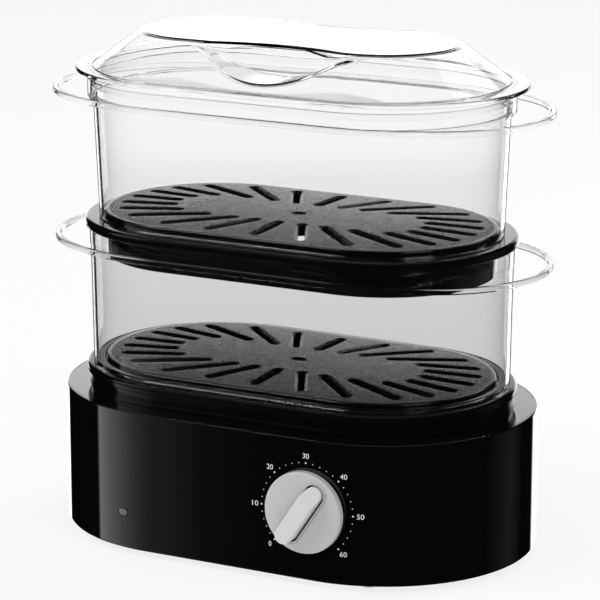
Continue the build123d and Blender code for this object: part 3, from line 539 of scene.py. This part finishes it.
def beadPatches():
    # A bright ring with a round top, just inside the pocket's wall.
    outer, inner = knob["pocketRadius"] - knob["beadPlay"], knob["pocketRadius"] - knob["beadWidth"]
    low, top, soft = knob["pocketFloor"], knob["beadTop"], knob["beadRound"]
    corners = [(outer, low, 0), (outer, top, soft), (inner, top, soft), (inner, low, 0)]
    return [closedRing(corners, pocketStations(), 8, onto=onDial)]


def gripPatches():
    # Long bar with rolled edges; its flat top is filled round the small pointing dimple.
    radius, top, low = grip["radius"], grip["top"], knob["pocketFloor"]
    dimple, dimpleRadius = grip["dimple"], grip["dimpleRadius"]
    stations = ovalStations(40, 30, grip["half"])
    sides = roundedPath([(radius, low, 0), (radius, top, grip["edge"]), (radius - grip["edgeInset"], top, 0)],
        8, closed=False)
    bar = sweep(*sides, stations)
    angle = np.linspace(0, 2 * pi, 33)[:-1]
    ring = np.stack([dimple + dimpleRadius * np.cos(angle), dimpleRadius * np.sin(angle)], 1)

    def inDimple(spots):
        return np.linalg.norm(spots - np.array([dimple, 0.0]), axis=1) < dimpleRadius * 0.99

    across, up = np.meshgrid(np.arange(-18, 15, 1.0), np.arange(-2, 3, 1.0))
    face = flatPatch([bar[-1][:, :2], ring], inDimple, top, spots=np.stack([across.ravel(), up.ravel()], 1))
    sink = np.linspace(0, pi / 2, 6)[:, None]
    bowl = np.stack([dimple + dimpleRadius * np.cos(sink) * np.cos(angle),
        dimpleRadius * np.cos(sink) * np.sin(angle), top - grip["dimpleDepth"] * np.sin(sink) + 0 * angle], 2)
    foot = sweep([[0.0], [radius]], np.full((2, 1), low), stations)
    patches = [gridPatch(foot), gridPatch(bar), face, gridPatch(bowl)]
    for points, _, _ in patches:
        # The tail sinks: height above the pocket's floor falls with the way past the tail's start.
        share = np.clip((grip["tail"] - points[:, 0]) / (grip["half"] + radius + grip["tail"]), 0, 1)
        share = share ** 2 * (3 - 2 * share) * grip["tailFall"]
        points[:, 2] -= share * (points[:, 2] - low)
    return [(onDial(points), faces, number) for points, faces, number in patches]


def wrapOnWall(points):
    # Out of the wall's own curve: y = -(root of reach squared less the way past the run, squared) - out.
    past = np.maximum(points[..., 0] + dial["x"] - halfRun, 0)
    wall = np.sqrt(base["reach"] ** 2 - past ** 2)
    return np.stack([points[..., 0] + dial["x"], -(wall + points[..., 2]), points[..., 1] + dial["z"]], -1)


def digitPatches(text, across, up):
    # One number as a thin raised print, scaled to the dial's digit size.
    curve = bpy.data.curves.new("digits", "FONT")
    curve.body = text
    curve.extrude = 0.05
    curve.resolution_u = 6
    holder = link(bpy.data.objects.new("digits", curve))
    mesh = bpy.data.meshes.new_from_object(holder.evaluated_get(bpy.context.evaluated_depsgraph_get()))
    bpy.data.objects.remove(holder)
    points = np.empty(len(mesh.vertices) * 3)
    mesh.vertices.foreach_get("co", points)
    points = points.reshape(-1, 3)
    mesh.calc_loop_triangles()
    faces = np.empty(len(mesh.loop_triangles) * 3, dtype=np.int64)
    mesh.loop_triangles.foreach_get("vertices", faces)
    bpy.data.meshes.remove(mesh)
    low, high = points.min(0), points.max(0)
    width = dial["digitWidth"] * len(text) + dial["pairGap"] * (len(text) - 1)
    size = np.array([width, dial["digitHeight"], 2 * dial["ink"]])
    points = (points - (low + high) / 2) / (high - low) * size + np.array([across, up, 0.0])
    return wrapOnWall(points), faces.reshape(-1, 3), 0


def dotPatches(across, up, radius):
    # A low round pad of ink, closed at the back.
    angle = np.linspace(0, 2 * pi, 17)[:-1]
    reach = radius * np.array([0.0, 1.0, 1.0, 0.75, 0.0])[:, None]
    out = dial["ink"] * np.array([-1.0, -1.0, 0.6, 1.0, 1.0])[:, None]
    grid = np.stack([across + reach * np.cos(angle), up + reach * np.sin(angle), out + 0 * angle], 2)
    return gridPatch(wrapOnWall(grid))


def alongDial(radius, step, steps):
    # Across and up of one of the even steps round the dial, clockwise from its start.
    angle = radians(dial["startAngle"] - dial["sweepAngle"] // steps * step)
    return radius * cos(angle), radius * sin(angle)


def markPatches():
    # 0 to 60 round the dial, with a dot for every second minute and a big one at each number's place.
    patches = []
    for step in range(7):
        patches.append(digitPatches(str(step * 10), *alongDial(dial["numbersRadius"], step, 6)))
    for step in range(31):
        size = dial["bigDot"] if step % 5 == 0 else dial["smallDot"]
        patches.append(dotPatches(*alongDial(dial["dotsRadius"], step, 30), size))
    return patches


makePiece("knobDisc", knobPatches(), ["knobSilver", "trayBlack"], "knob", ("timer_knob",))
makePiece("knobBead", beadPatches(), ["brightTrim"], "knob", ("knob_trim",))
makePiece("knobBar", gripPatches(), ["gripSilver"], "knob", ("knob_grip",))
makePiece("dialMarks", markPatches(), ["dialInk"], "base", (), sharp=50, weld=1e-7)
print("dial made")


# Indicator.
lens = {"along": 16.0, "z": 29.0, "half": 1.4, "radius": 2.1, "proud": 0.4, "back": -3.0, "bezel": 0.9,
        "bezelProud": 0.25, "bezelPlay": 0.06, "bezelBack": -0.5}


def onLamp(points):
    # The lens faces out of the wall past the straight run, to the left.
    ny = -sqrt(1 - (lens["along"] / base["reach"]) ** 2)
    nx = -lens["along"] / base["reach"]
    across, up, out = (points[..., k] for k in range(3))
    x = -halfRun + (base["reach"] + out) * nx - across * ny
    return np.stack([x, (base["reach"] + out) * ny + across * nx, lens["z"] + up], -1)


def lensPatches():
    # Rows rise from behind the wall to a softly domed top that closes on the lens's middle line.
    share = np.linspace(0, pi / 2, 12)[:, None]
    reach = np.concatenate([[[0.0], [lens["radius"]]], lens["radius"] * np.cos(share) ** 0.6])
    height = np.concatenate([[[lens["back"]], [lens["back"]]], lens["proud"] * np.sin(share) ** 1.2])
    return [gridPatch(onLamp(sweep(reach, height, ovalStations(24, 6, lens["half"]))))]


def bezelPatches():
    # A low ring round the lens, with its back sunk in the wall.
    inner, outer = lens["radius"] + lens["bezelPlay"], lens["radius"] + lens["bezel"]
    low, top = lens["bezelBack"], lens["bezelProud"]
    corners = [(outer, low, 0), (outer, top, 0.2), (inner, top, 0.15), (inner, low, 0)]
    return [closedRing(corners, ovalStations(24, 6, lens["half"]), 5, onto=onLamp)]


makePiece("lampLens", lensPatches(), ["lensSmokeAndGlint"], "base", ("indicator_lens",))
makePiece("lampBezel", bezelPatches(), ["pianoBlack"], "base", ())
print("indicator made")


# Drip tray.
tray = {"collar": 85.6, "wall": 2.0, "low": 98.5, "top": 107.5, "bead": 86.3, "beadTop": 100.7,
        "beadStep": 0.35, "ledge": 100.5, "drop": 77.2, "floor": 85.0, "under": 83.0, "closingOval": 60.0,
        "chimney": 20.0, "chimneyTop": 95.0, "topMargin": 0.8, "underMargin": 0.5}


def trayPatches():
    # Collar and drop wall as one path, then the floor closes from the oval to the round chimney:
    # a floor point lies between the oval's outline and the chimney's circle.
    stations = ovalStations(96, 40)
    collar, drop, oval, bead = tray["collar"], tray["drop"], tray["closingOval"], tray["bead"]
    collarIn, dropIn = collar - tray["wall"], drop - tray["wall"]
    under, bottom, ledge, low, rim = tray["under"], tray["floor"], tray["ledge"], tray["low"], tray["top"]
    beadTop, beadStop = tray["beadTop"], tray["beadTop"] + tray["beadStep"]
    wall = roundedPath([(oval, under, 0), (drop, under, 1.2), (drop, low, 0.3), (bead, low, 0.3),
        (bead, beadTop, 0.6), (collar, beadStop, 0.3), (collar, rim, 0.6), (collarIn, rim, 0.5),
        (collarIn, ledge, 0.8), (dropIn, ledge, 0.8), (dropIn, bottom, 1.5), (oval, bottom, 0)],
        5, closed=False)
    outline = sweep([[oval]], [[0.0]], stations)[0][:, :2]
    heading = headings(outline)

    def closing(radius, height):
        share = np.linspace(0, 1, 6)[:, None, None]
        flat = (1 - share) * outline + share * radius * heading
        return np.concatenate([flat, np.full(flat.shape[:2] + (1,), height)], 2)

    inner, outer, top = tray["chimney"], tray["chimney"] + tray["wall"], tray["chimneyTop"]
    topReach, underReach = outer + tray["topMargin"], inner + tray["underMargin"]
    chimney = roundedPath([(topReach, bottom, 0), (outer, bottom, 0.7), (outer, top, 0.6), (inner, top, 0.6),
        (inner, under, 0.4), (underReach, under, 0)], 5, closed=False)
    return [gridPatch(sweep(*wall, stations)), gridPatch(closing(topReach, bottom)),
        gridPatch(aroundAxis(chimney, heading)), gridPatch(closing(underReach, under)[::-1])]


makePiece("dripTray", trayPatches(), ["trayBlack"], "tray", ("drip_tray",))
print("tray made")


# Slotted floors and clear baskets: the two tiers share their forms and differ in these values.
tiers = {
    "lower": {"floorLevel": 107.5, "wallLevel": 113.5, "foot": 83.5, "shoulder": 84.6, "shoulderRound": 0.1,
        "boreRound": 0.8, "finish": "clearLower"},
    "upper": {"floorLevel": 207.8, "wallLevel": 213.8, "foot": 78.3, "shoulder": 81.5, "shoulderRound": 0.8,
        "boreRound": 0.06, "finish": "clearUpper"},
}
floor = {"flange": 88.0, "flangeHeight": 6.0, "plate": 74.5, "plateHeight": 11.2, "plateThickness": 2.5,
         "plateRim": 3.0, "crown": 1.6, "crownDepth": 2.0, "skirt": 74.0, "skirtFoot": 73.2,
         "skirtDepth": 20.0, "hollow": 71.0, "lip": 82.3, "lipWall": 2.2, "lipHeight": 1.5, "slotWidth": 4.6,
         "slotLap": 0.4, "ribDepth": 5.0, "ribWall": 1.2, "slope": 2.0, "slopeDepth": 1.2, "slopeRound": 0.35,
         "outerOval": 61.5, "innerOval": 29.0, "centreLength": 8.0, "fillStep": 5.0, "fillGap": 1.6}
# Each slot's outer and inner end, as shares of the way along a quarter of the two ovals.
slotPlaces = np.array([(0.0, 0.0), (0.12, 0.13), (0.24, 0.28), (0.38, 0.5), (0.58, 0.69), (0.79, 0.84),
                       (1.0, 1.0)])


def quarterPoint(radius, share):
    # Share of the way along a quarter of an oval, from its tip, round the end, to its middle.
    way = share * (radius * pi / 2 + halfRun)
    angle = np.minimum(way / radius, pi / 2)
    past = np.maximum(way - radius * pi / 2, 0)
    return np.stack([halfRun + radius * np.cos(angle) - past, radius * np.sin(angle)], -1)


def slotEnds():
    # Start and end of each slot's middle line: a fan mirrored left to right and front to back.
    outer = quarterPoint(floor["outerOval"], slotPlaces[:, 0])
    inner = quarterPoint(floor["innerOval"], slotPlaces[:, 1])
    ends = np.stack([outer, inner], 1)
    mirrored = np.concatenate([ends * np.array(way) for way in ((1, 1), (-1, 1), (1, -1), (-1, -1))])
    half = (floor["centreLength"] - floor["slotWidth"]) / 2
    mirrored = np.concatenate([mirrored, [[(half, 0), (-half, 0)]]])
    return np.unique(np.round(mirrored, 6), axis=0)


def fromMiddle(points):
    # Distance from the oval's middle line.
    return np.hypot(np.maximum(np.abs(points[:, 0]) - halfRun, 0), points[:, 1])


def inSlot(ends, reach):
    # Test for spots nearer than reach to a slot: clamp the share along its line, then measure across.
    def test(spots):
        start, run = ends[:, 0][None], (ends[:, 1] - ends[:, 0])[None]
        share = np.clip(((spots[:, None] - start) * run).sum(2) / (run ** 2).sum(2), 0, 1)
        return (np.linalg.norm(spots[:, None] - start - share[..., None] * run, axis=2) < reach).any(1)
    return test


def slotRows(start, stop, path):
    # A round-ended outline for each step of the path: half a turn about the stop, then half about
    # the start, kept just off the joints so that each point belongs to one end.
    nudge = 1e-6
    turned = np.concatenate([np.linspace(-pi / 2 + nudge, pi / 2 - nudge, 9),
        np.linspace(pi / 2 + nudge, 3 * pi / 2 - nudge, 9)])
    along = (stop - start) / np.linalg.norm(stop - start)
    across = np.array([-along[1], along[0]])
    centre = np.where(np.cos(turned)[:, None] > 0, stop, start)
    outward = np.cos(turned)[:, None] * along + np.sin(turned)[:, None] * across
    return np.stack([np.column_stack([centre + reach * outward, np.full(turned.size, height)])
        for reach, height in zip(path[0][:, 0], path[1][:, 0])])


def floorPatches(level):
    # Skirt, lip, flange and plate edge as one path; the plate's faces are filled round the slots,
    # and each slot has a sloped mouth, a wall and a short rib round its lower end.
    plateTop = level + floor["plateHeight"]
    plateUnder = plateTop - floor["plateThickness"]
    skirtLow, lipLow = level - floor["skirtDepth"], level - floor["lipHeight"]
    flange, flangeTop = floor["flange"], level + floor["flangeHeight"]
    hollow, plate, lip, lipIn = floor["hollow"], floor["plate"], floor["lip"], floor["lip"] - floor["lipWall"]
    outline = roundedPath([(hollow, plateUnder, 0), (hollow, skirtLow, 0.5),
        (floor["skirtFoot"], skirtLow, 0.5), (floor["skirt"], level, 0.3), (lipIn, level, 0.2),
        (lipIn, lipLow, 0.3), (lip, lipLow, 0.3), (lip, level, 0.2), (flange, level, 0.8),
        (flange, flangeTop, 2.4), (plate, flangeTop, 0.8), (plate, plateTop, 1.2),
        (plate - floor["plateRim"], plateTop, 0)], 6, closed=False)
    body = sweep(*outline, ovalStations(96, 48))
    ends = slotEnds()
    half, ribLow = floor["slotWidth"] / 2, plateUnder - floor["ribDepth"]
    mouth, slopeLow = half + floor["slope"], plateTop - floor["slopeDepth"]
    rib, lap, soft = half + floor["ribWall"], floor["slotLap"], floor["slopeRound"]
    slot = roundedPath([(mouth + lap, plateTop, 0), (mouth, plateTop, soft), (half, slopeLow, soft),
        (half, ribLow, 0.3), (rib, ribLow, 0.3), (rib, plateUnder, 0.3), (rib + lap, plateUnder, 0)],
        closed=False)
    slots = [slotRows(start, stop, slot) for start, stop in ends]
    # Spots inside the plate's top let the crown bend it.
    step = floor["fillStep"]
    across, along = np.meshgrid(np.arange(-135, 136, step), np.arange(-70, 71, step))
    spots = np.stack([across.ravel(), along.ravel()], 1)
    spots = spots[(fromMiddle(spots) < plate - step) & ~inSlot(ends, mouth + floor["fillGap"])(spots)]
    topLoops = [body[-1][:, :2]] + [rows[0][:, :2] for rows in slots]
    lowLoops = [body[0][:, :2]] + [rows[-1][:, :2] for rows in slots]
    patches = [gridPatch(body)] + [gridPatch(rows, material=1) for rows in slots]
    patches.append(flatPatch(topLoops, inSlot(ends, mouth), plateTop, True, 1, spots))
    patches.append(flatPatch(lowLoops, inSlot(ends, rib), plateUnder, False, 2))
    for points, _, _ in patches:
        # The top is crowned so that it drains: its middle is higher than its edge by the crown.
        lift = floor["crown"] * (0.5 - (fromMiddle(points) / plate) ** 2)
        points[:, 2] += np.where(points[:, 2] > plateTop - floor["crownDepth"], lift, 0)
    return patches


for tier, values in tiers.items():
    makePiece(tier + "SlottedFloor", floorPatches(values["floorLevel"]),
        ["trayBlack", "plateBlack", "underBlack"], tier + "_grate", (tier + "_floor",))
print("floors made")


basket = {"height": 94.3, "wall": 2.2, "rim": 85.0, "bore": 76.0, "foot": 2.4, "footRound": 2.0, "band": 81.2}
band = {"reach": 88.0, "width": 3.2, "height": 4.0, "edge": 1.0, "innerEdge": 0.5, "tipReach": 113.0,
        "taper": 8.7, "inner": 85.0, "play": 0.02}


def basketPatches(values):
    # One closed path: foot, drafted side, shoulder and straight collar, then back down the inside.
    level, foot, shoulder = values["wallLevel"], values["foot"], values["shoulder"]
    soft, rim, wall = values["shoulderRound"], basket["rim"], basket["wall"]
    bandLow, top = level + basket["band"], level + basket["height"]
    inside, floorTop = rim - wall, level + basket["foot"]
    corners = [(foot, level, basket["footRound"]), (shoulder, bandLow, soft), (rim, bandLow, 0.35),
        (rim, top, 0.7), (inside, top, 0.7), (inside, bandLow + wall, 0.35),
        (shoulder - wall, bandLow + wall, soft), (foot - wall, floorTop, 1.0),
        (basket["bore"], floorTop, values["boreRound"]), (basket["bore"], level, 0.8)]
    return [closedRing(corners, ovalStations(96, 40))]


def bandPatches(level):
    # The band follows the collar along the runs and leaves it at both ends as an open loop.
    stations = ovalStations(120, 60)
    low, width, edge, soft = level + basket["band"], band["width"], band["edge"], band["innerEdge"]
    outer = wingedReach(stations, band["reach"], band["tipReach"], band["taper"])
    gap = wingedReach(stations, band["reach"] - width, band["tipReach"] - width, band["taper"])
    inner = np.maximum(gap, band["inner"] + band["play"])
    top = low + band["height"]
    corners = [(outer, low, edge), (outer, top, edge), (inner, top, soft), (inner, low, soft)]
    return [closedRing(corners, stations, 5, count=outer.size)]


for tier, values in tiers.items():
    makePiece(tier + "ClearBasket", basketPatches(values), [values["finish"]], tier + "_bowl",
        (tier + "_basket",))
    makePiece(tier + "Loops", bandPatches(values["wallLevel"]), [values["finish"]], tier + "_bowl",
        (tier + "_handles",))
print("baskets made")


# Lid.
lid = {"skirt": 82.3, "wall": 2.2, "low": 303.1, "seat": 308.1, "insideJoin": 4, "drum": 85.0,
       "flangeLow": 311.8, "flangeTop": 314.8, "flange": 90.0, "tabReach": 95.0, "tabTaper": 10.0,
       "flangeRound": 1.0, "domeFoot": 82.0, "domeGap": 0.6, "fall": 24.4 / 32.6, "roof": 339.2, "soft": 1.6,
       "shift": 9.0, "halfSpan": 78.0, "scoopDepth": 19.7, "gripHalf": 42.0, "scoopWall": 150.0,
       "wallSoft": 1.1, "beyondScoop": 77.0, "crowding": 1.4}


def valleyHeight(x):
    # Smooth valley down from the roof: two equal arcs a side, radius = (quarter span squared
    # + half depth squared) / depth, one rising out of the bottom and one into the roof.
    quarter, depth = lid["halfSpan"] / 2, lid["scoopDepth"]
    radius = (quarter ** 2 + (depth / 2) ** 2) / depth
    away = np.minimum(np.abs(x - lid["shift"]), lid["halfSpan"])
    low = lid["roof"] - depth + radius - np.sqrt(radius ** 2 - np.minimum(away, quarter) ** 2)
    high = lid["roof"] - radius + np.sqrt(radius ** 2 - np.clip(lid["halfSpan"] - away, 0, quarter) ** 2)
    return np.where(away < quarter, low, high)


def softLower(first, second, width):
    # Lower of two heights, blended over a width: lower - (width - gap) squared / (4 width).
    gap = np.maximum(width - np.abs(first - second), 0)
    return np.minimum(first, second) - gap ** 2 / (4 * width)


def scoopEdge(stations, grown):
    # Where a station's ray enters the scoop's round wall: the nearer root of the circle's equation.
    # A ray that misses it gets a place beyond the dome's top.
    centre, nx, ny = stations
    offset = lid["gripHalf"] + lid["scoopWall"]
    toward = (centre - lid["shift"]) * nx - offset * np.abs(ny)
    rest = (centre - lid["shift"]) ** 2 + offset ** 2 - (lid["scoopWall"] + grown) ** 2
    inside = toward ** 2 - rest
    root = -toward - np.sqrt(np.maximum(inside, 0))
    return np.where((inside > 0) & (root > 0), np.minimum(root, lid["beyondScoop"]), lid["beyondScoop"])


def domeSurface(stations, grown, rim):
    # Height = lower of the sloping dome and the top, where the top steps from the flat roof
    # down to the valley across the scoop's wall. Rows crowd round the wall and both creases.
    centre, nx, _ = stations
    drop = grown * sqrt(1 + lid["fall"] ** 2)
    edge = scoopEdge(stations, grown)

    def crease(top):
        # Where the dome's slope meets a surface that is top(x) high, closed in on step by step.
        reach = np.full(centre.size, 70.0)
        for _ in range(6):
            above = top(centre + reach * nx) - grown + drop - lid["flangeTop"]
            reach = lid["domeFoot"] - above / lid["fall"]
        return np.clip(reach, 5, rim - 2)

    keys = np.sort(np.stack([edge, crease(lambda x: lid["roof"] + 0 * x), crease(valleyHeight)]), axis=0)
    limits = [np.zeros(centre.size)]
    for key in keys:
        limits += [key - lid["crowding"], key + lid["crowding"]]
    limits = np.maximum.accumulate(np.stack(limits + [np.full(centre.size, rim)]), axis=0)
    limits = np.minimum(limits, rim)
    counts = [10, 7, 6, 7, 7, 7, 4]     # rows between one limit and the next
    bands = [limits[k] + (limits[k + 1] - limits[k]) * np.arange(rows)[:, None] / rows
        for k, rows in enumerate(counts)]
    reach = np.concatenate(bands + [limits[-1:]])
    x = centre + reach * nx
    step = np.clip((reach - edge) / lid["wallSoft"] / 2 + 0.5, 0, 1)
    step = step * step * (3 - 2 * step)
    top = lid["roof"] * (1 - step) + valleyHeight(x) * step - grown
    slope = lid["flangeTop"] + (lid["domeFoot"] - reach) * lid["fall"] - drop
    return reach, softLower(slope, top, lid["soft"])


def lidPatches():
    # From the middle of the underside out to the skirt, round the flange and in over the dome.
    stations = ovalStations(150, 132)
    flange = wingedReach(stations, lid["flange"], lid["tabReach"], lid["tabTaper"])
    skirt, skirtIn, low = lid["skirt"], lid["skirt"] - lid["wall"], lid["low"]
    seat, drum, domeFoot = lid["seat"], lid["drum"], lid["domeFoot"]
    flangeLow, flangeTop, soft = lid["flangeLow"], lid["flangeTop"], lid["flangeRound"]
    underReach, underHeight = domeSurface(stations, lid["wall"], skirtIn)
    topReach, topHeight = domeSurface(stations, 0.0, domeFoot)
    edge = [(skirtIn, low + lid["insideJoin"], 0), (skirtIn, low, 0.6), (skirt, low, 0.6),
        (skirt, seat, 0.2), (drum, seat, 0.5), (drum, flangeLow, 0.5), (flange, flangeLow, soft),
        (flange, flangeTop, soft), (domeFoot + lid["domeGap"], flangeTop, 0)]
    edgeReach, edgeHeight = roundedPath(edge, closed=False, count=flange.size)
    reach = np.concatenate([underReach, edgeReach, topReach[::-1]])
    height = np.concatenate([underHeight, edgeHeight, topHeight[::-1]])
    return [gridPatch(sweep(reach, height, stations))]


makePiece("clearLid", lidPatches(), ["clearLid"], "cover", ("lid",), sharp=55)
print("lid made")


# The solids that keep their own shape: (finish, slot) of those that can be seen, all on the base,
# and the finish of those inside.
dressed = {
    "water_tank": ("underBlack", "tank"),
    "bottom_cover": ("underBlack", "black_plastic"),
    "feet": ("footRubber", "rubber"),
    "cord_gland": ("footRubber", "rubber"),
    "cover_screws": ("steel", "steel"),
    "heater_plate": ("castMetal", "cast_metal"),
    "steam_ring": ("underBlack", "black_plastic"),
}
hidden = {
    "heater_gasket": "sealRubber", "heating_element": "steel", "heater_screws": "steel",
    "thermostat": "steel", "thermal_fuse": "sealRubber", "timer_case": "timerPlastic",
    "timer_bell": "brass", "timer_screws": "steel", "timer_shaft": "brass",
    "lamp_holder": "timerPlastic", "indicator_lamp": "clearLamp", "terminal_block": "timerPlastic",
    "cord_clamp": "timerPlastic", "clamp_screws": "steel",
}
for node, (finish, slot) in dressed.items():
    dressCopy(node, finish, "base")
for node, finish in hidden.items():
    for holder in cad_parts[node].material_slots:
        holder.material = finishes[finish]
print("carried-over solids dressed:", len(dressed) + len(hidden))


# Floor, world, lamps and camera. Ranges are degrees above the horizon, from nothing to full.
studio = {"floorSize": 4.0, "glowShare": 0.82, "unlitFrom": 0.55, "unlitBehind": 0.02, "fill": 0.5,
          "backFrom": 100, "backRise": (22.0, 10.0), "backBright": 2.1, "frontRise": (60.0, 38.0),
          "topRise": (45.0, 80.0), "topBright": 0.3, "footRise": (-16.0, -10.0), "lampAim": (0, 0, 0.16)}
# Softboxes round the object, as (degrees round from the front towards +x, brightness).
softboxes = [(-180, 1.0), (-174, 1.0), (-133, 1.0), (-129, 0.0), (-75, 0.0), (-73.6, 1.0), (-63.7, 0.72),
             (-51.7, 0.5), (-40.5, 0.3), (-33, 0.18), (-30.5, 0.15), (-30.1, 0.06), (-29.5, 0.015),
             (-28, 0.0), (108, 0.0), (135, 0.024), (152, 0.0), (174, 0.0), (178, 1.0)]
# Brightness seen through clear walls, from the foot of the backdrop up.
backdropFoot = [(0.0, 0.72), (0.27, 0.77), (0.63, 0.87), (0.73, 0.98), (0.82, 1.0)]
lamps = [
    {"name": "keyLamp", "at": (-1.3, -1.2, 1.9), "size": 1.4, "power": 26.0},
    {"name": "rightLamp", "at": (1.7, -0.9, 1.2), "size": 1.0, "power": 9.0},
    {"name": "backLamp", "at": (0.6, 1.5, 1.7), "size": 1.2, "power": 16.0},
]
view = {"turn": 27.634, "rise": 14.417, "distance": 2063.7, "height": 160.1, "aside": 0.395, "lens": 185.56}


def floorMaterial():
    # Pale paper: the camera sees it almost white, with the object's soft shadow on it. Reflections
    # and light through clear walls look through it to the studio, and reflections find it unlit
    # further out in front.
    material = bpy.data.materials.new("palePaper")
    tree = emptyTree(material)
    rays = addNode(tree, "LightPath").outputs
    where = addNode(tree, "TexCoord").outputs["Object"]
    distance = addNode(tree, "VectorMath", {"operation": "LENGTH"}, {0: where}).outputs["Value"]
    y = addNode(tree, "SeparateXYZ", None, {0: where}).outputs[1]
    far = calc(tree, "MULTIPLY", calc(tree, "GREATER_THAN", distance, studio["unlitFrom"]),
        calc(tree, "LESS_THAN", y, studio["unlitBehind"]))
    beyond = calc(tree, "MULTIPLY", calc(tree, "GREATER_THAN", rays["Glossy Depth"], 0.5), far)
    paper = addNode(tree, "BsdfDiffuse", None, {"Color": grey(0.9)})
    glow = addNode(tree, "Emission", None, {"Color": grey(1.0), "Strength": 1.0})
    unlit = addNode(tree, "Emission", None, {"Color": grey(0.0), "Strength": 0.0})
    mirrored = mixShader(tree, beyond, addNode(tree, "BsdfTransparent"), unlit)
    past = calc(tree, "MAXIMUM", rays["Is Glossy Ray"], rays["Is Transmission Ray"])
    mixed = mixShader(tree, past, mixShader(tree, studio["glowShare"], paper, glow), mirrored)
    addNode(tree, "OutputMaterial", None, {"Surface": mixed.outputs[0]})
    return material


def makeFloor():
    mesh = bpy.data.meshes.new("studioFloor")
    size = studio["floorSize"]
    corners = [(-size, -size, 0), (size, -size, 0), (size, size, 0), (-size, size, 0)]
    mesh.from_pydata(corners, [], [(0, 1, 2, 3)])
    mesh.materials.append(floorMaterial())
    link(bpy.data.objects.new("studioFloor", mesh))


def makeWorld():
    # White to the camera, white with a darker foot through clear walls, softboxes in reflections,
    # also in those seen through a clear wall, and an even fill for everything else.
    world = bpy.data.worlds.new("studio")
    bpy.context.scene.world = world
    tree = emptyTree(world)
    way = addNode(tree, "SeparateXYZ", None, {0: addNode(tree, "TexCoord").outputs["Generated"]}).outputs
    bearing = calc(tree, "ARCTAN2", way[0], calc(tree, "MULTIPLY", way[1], -1.0))
    share = calc(tree, "MULTIPLY_ADD", bearing, 1 / (2 * pi), 0.5)
    rise = calc(tree, "MULTIPLY", calc(tree, "ARCSINE", way[2]), 180 / pi)
    boxes = rampNode(tree, share, [((angle + 180) / 360, bright) for angle, bright in softboxes])
    behind = calc(tree, "GREATER_THAN", calc(tree, "ABSOLUTE", bearing), radians(studio["backFrom"]))
    front = mapRange(tree, calc(tree, "ABSOLUTE", rise), *studio["frontRise"])
    back = calc(tree, "MULTIPLY", mapRange(tree, rise, *studio["backRise"]), studio["backBright"])
    top = mapRange(tree, rise, *studio["topRise"], high=studio["topBright"])
    mirror = calc(tree, "MAXIMUM", calc(tree, "MULTIPLY", boxes, mixValue(tree, behind, front, back)), top)
    through = rampNode(tree, mapRange(tree, rise, *studio["footRise"]), backdropFoot)
    rays = addNode(tree, "LightPath").outputs
    mirrored = calc(tree, "GREATER_THAN", rays["Glossy Depth"], 0.5)
    bright = mixValue(tree, rays["Is Glossy Ray"], studio["fill"], mirror)
    bright = mixValue(tree, rays["Is Transmission Ray"], bright, mixValue(tree, mirrored, through, mirror))
    bright = mixValue(tree, rays["Is Camera Ray"], bright, 1.0)
    shown = addNode(tree, "Background", None, {"Color": bright, "Strength": 1.0})
    addNode(tree, "OutputWorld", None, {"Surface": shown.outputs[0]})


def makeLamps():
    for lamp in lamps:
        data = bpy.data.lights.new(lamp["name"], "AREA")
        data.shape = "SQUARE"
        data.size = lamp["size"]
        data.energy = lamp["power"]
        obj = link(bpy.data.objects.new(lamp["name"], data))
        obj.visible_glossy = False      # reflections come from the softboxes alone
        obj.location = lamp["at"]
        toward = Vector(studio["lampAim"]) - obj.location
        obj.rotation_euler = toward.to_track_quat("-Z", "Y").to_euler()


def makeCamera():
    # Looks down at the object from the front right, level, with the aim a little aside of its axis.
    turn, rise = radians(view["turn"]), radians(view["rise"])
    away = Vector((sin(turn) * cos(rise), -cos(turn) * cos(rise), sin(rise)))
    right = Vector((cos(turn), sin(turn), 0))
    aim = right * view["aside"] + Vector((0, 0, view["height"]))
    data = bpy.data.cameras.new("camera")
    data.lens = view["lens"]
    data.sensor_width = 36.0
    data.sensor_fit = "HORIZONTAL"
    data.clip_start = 0.05
    data.clip_end = 50.0
    obj = link(bpy.data.objects.new("camera", data))
    facing = (-away).to_track_quat("-Z", "Y").to_matrix().to_4x4()
    obj.matrix_world = Matrix.Translation((aim + away * view["distance"]) * mm) @ facing
    bpy.context.scene.camera = obj


makeFloor()
makeWorld()
makeLamps()
makeCamera()
bpy.context.scene.view_settings.view_transform = "Standard"
print("studio made")

bpy.context.view_layer.update()
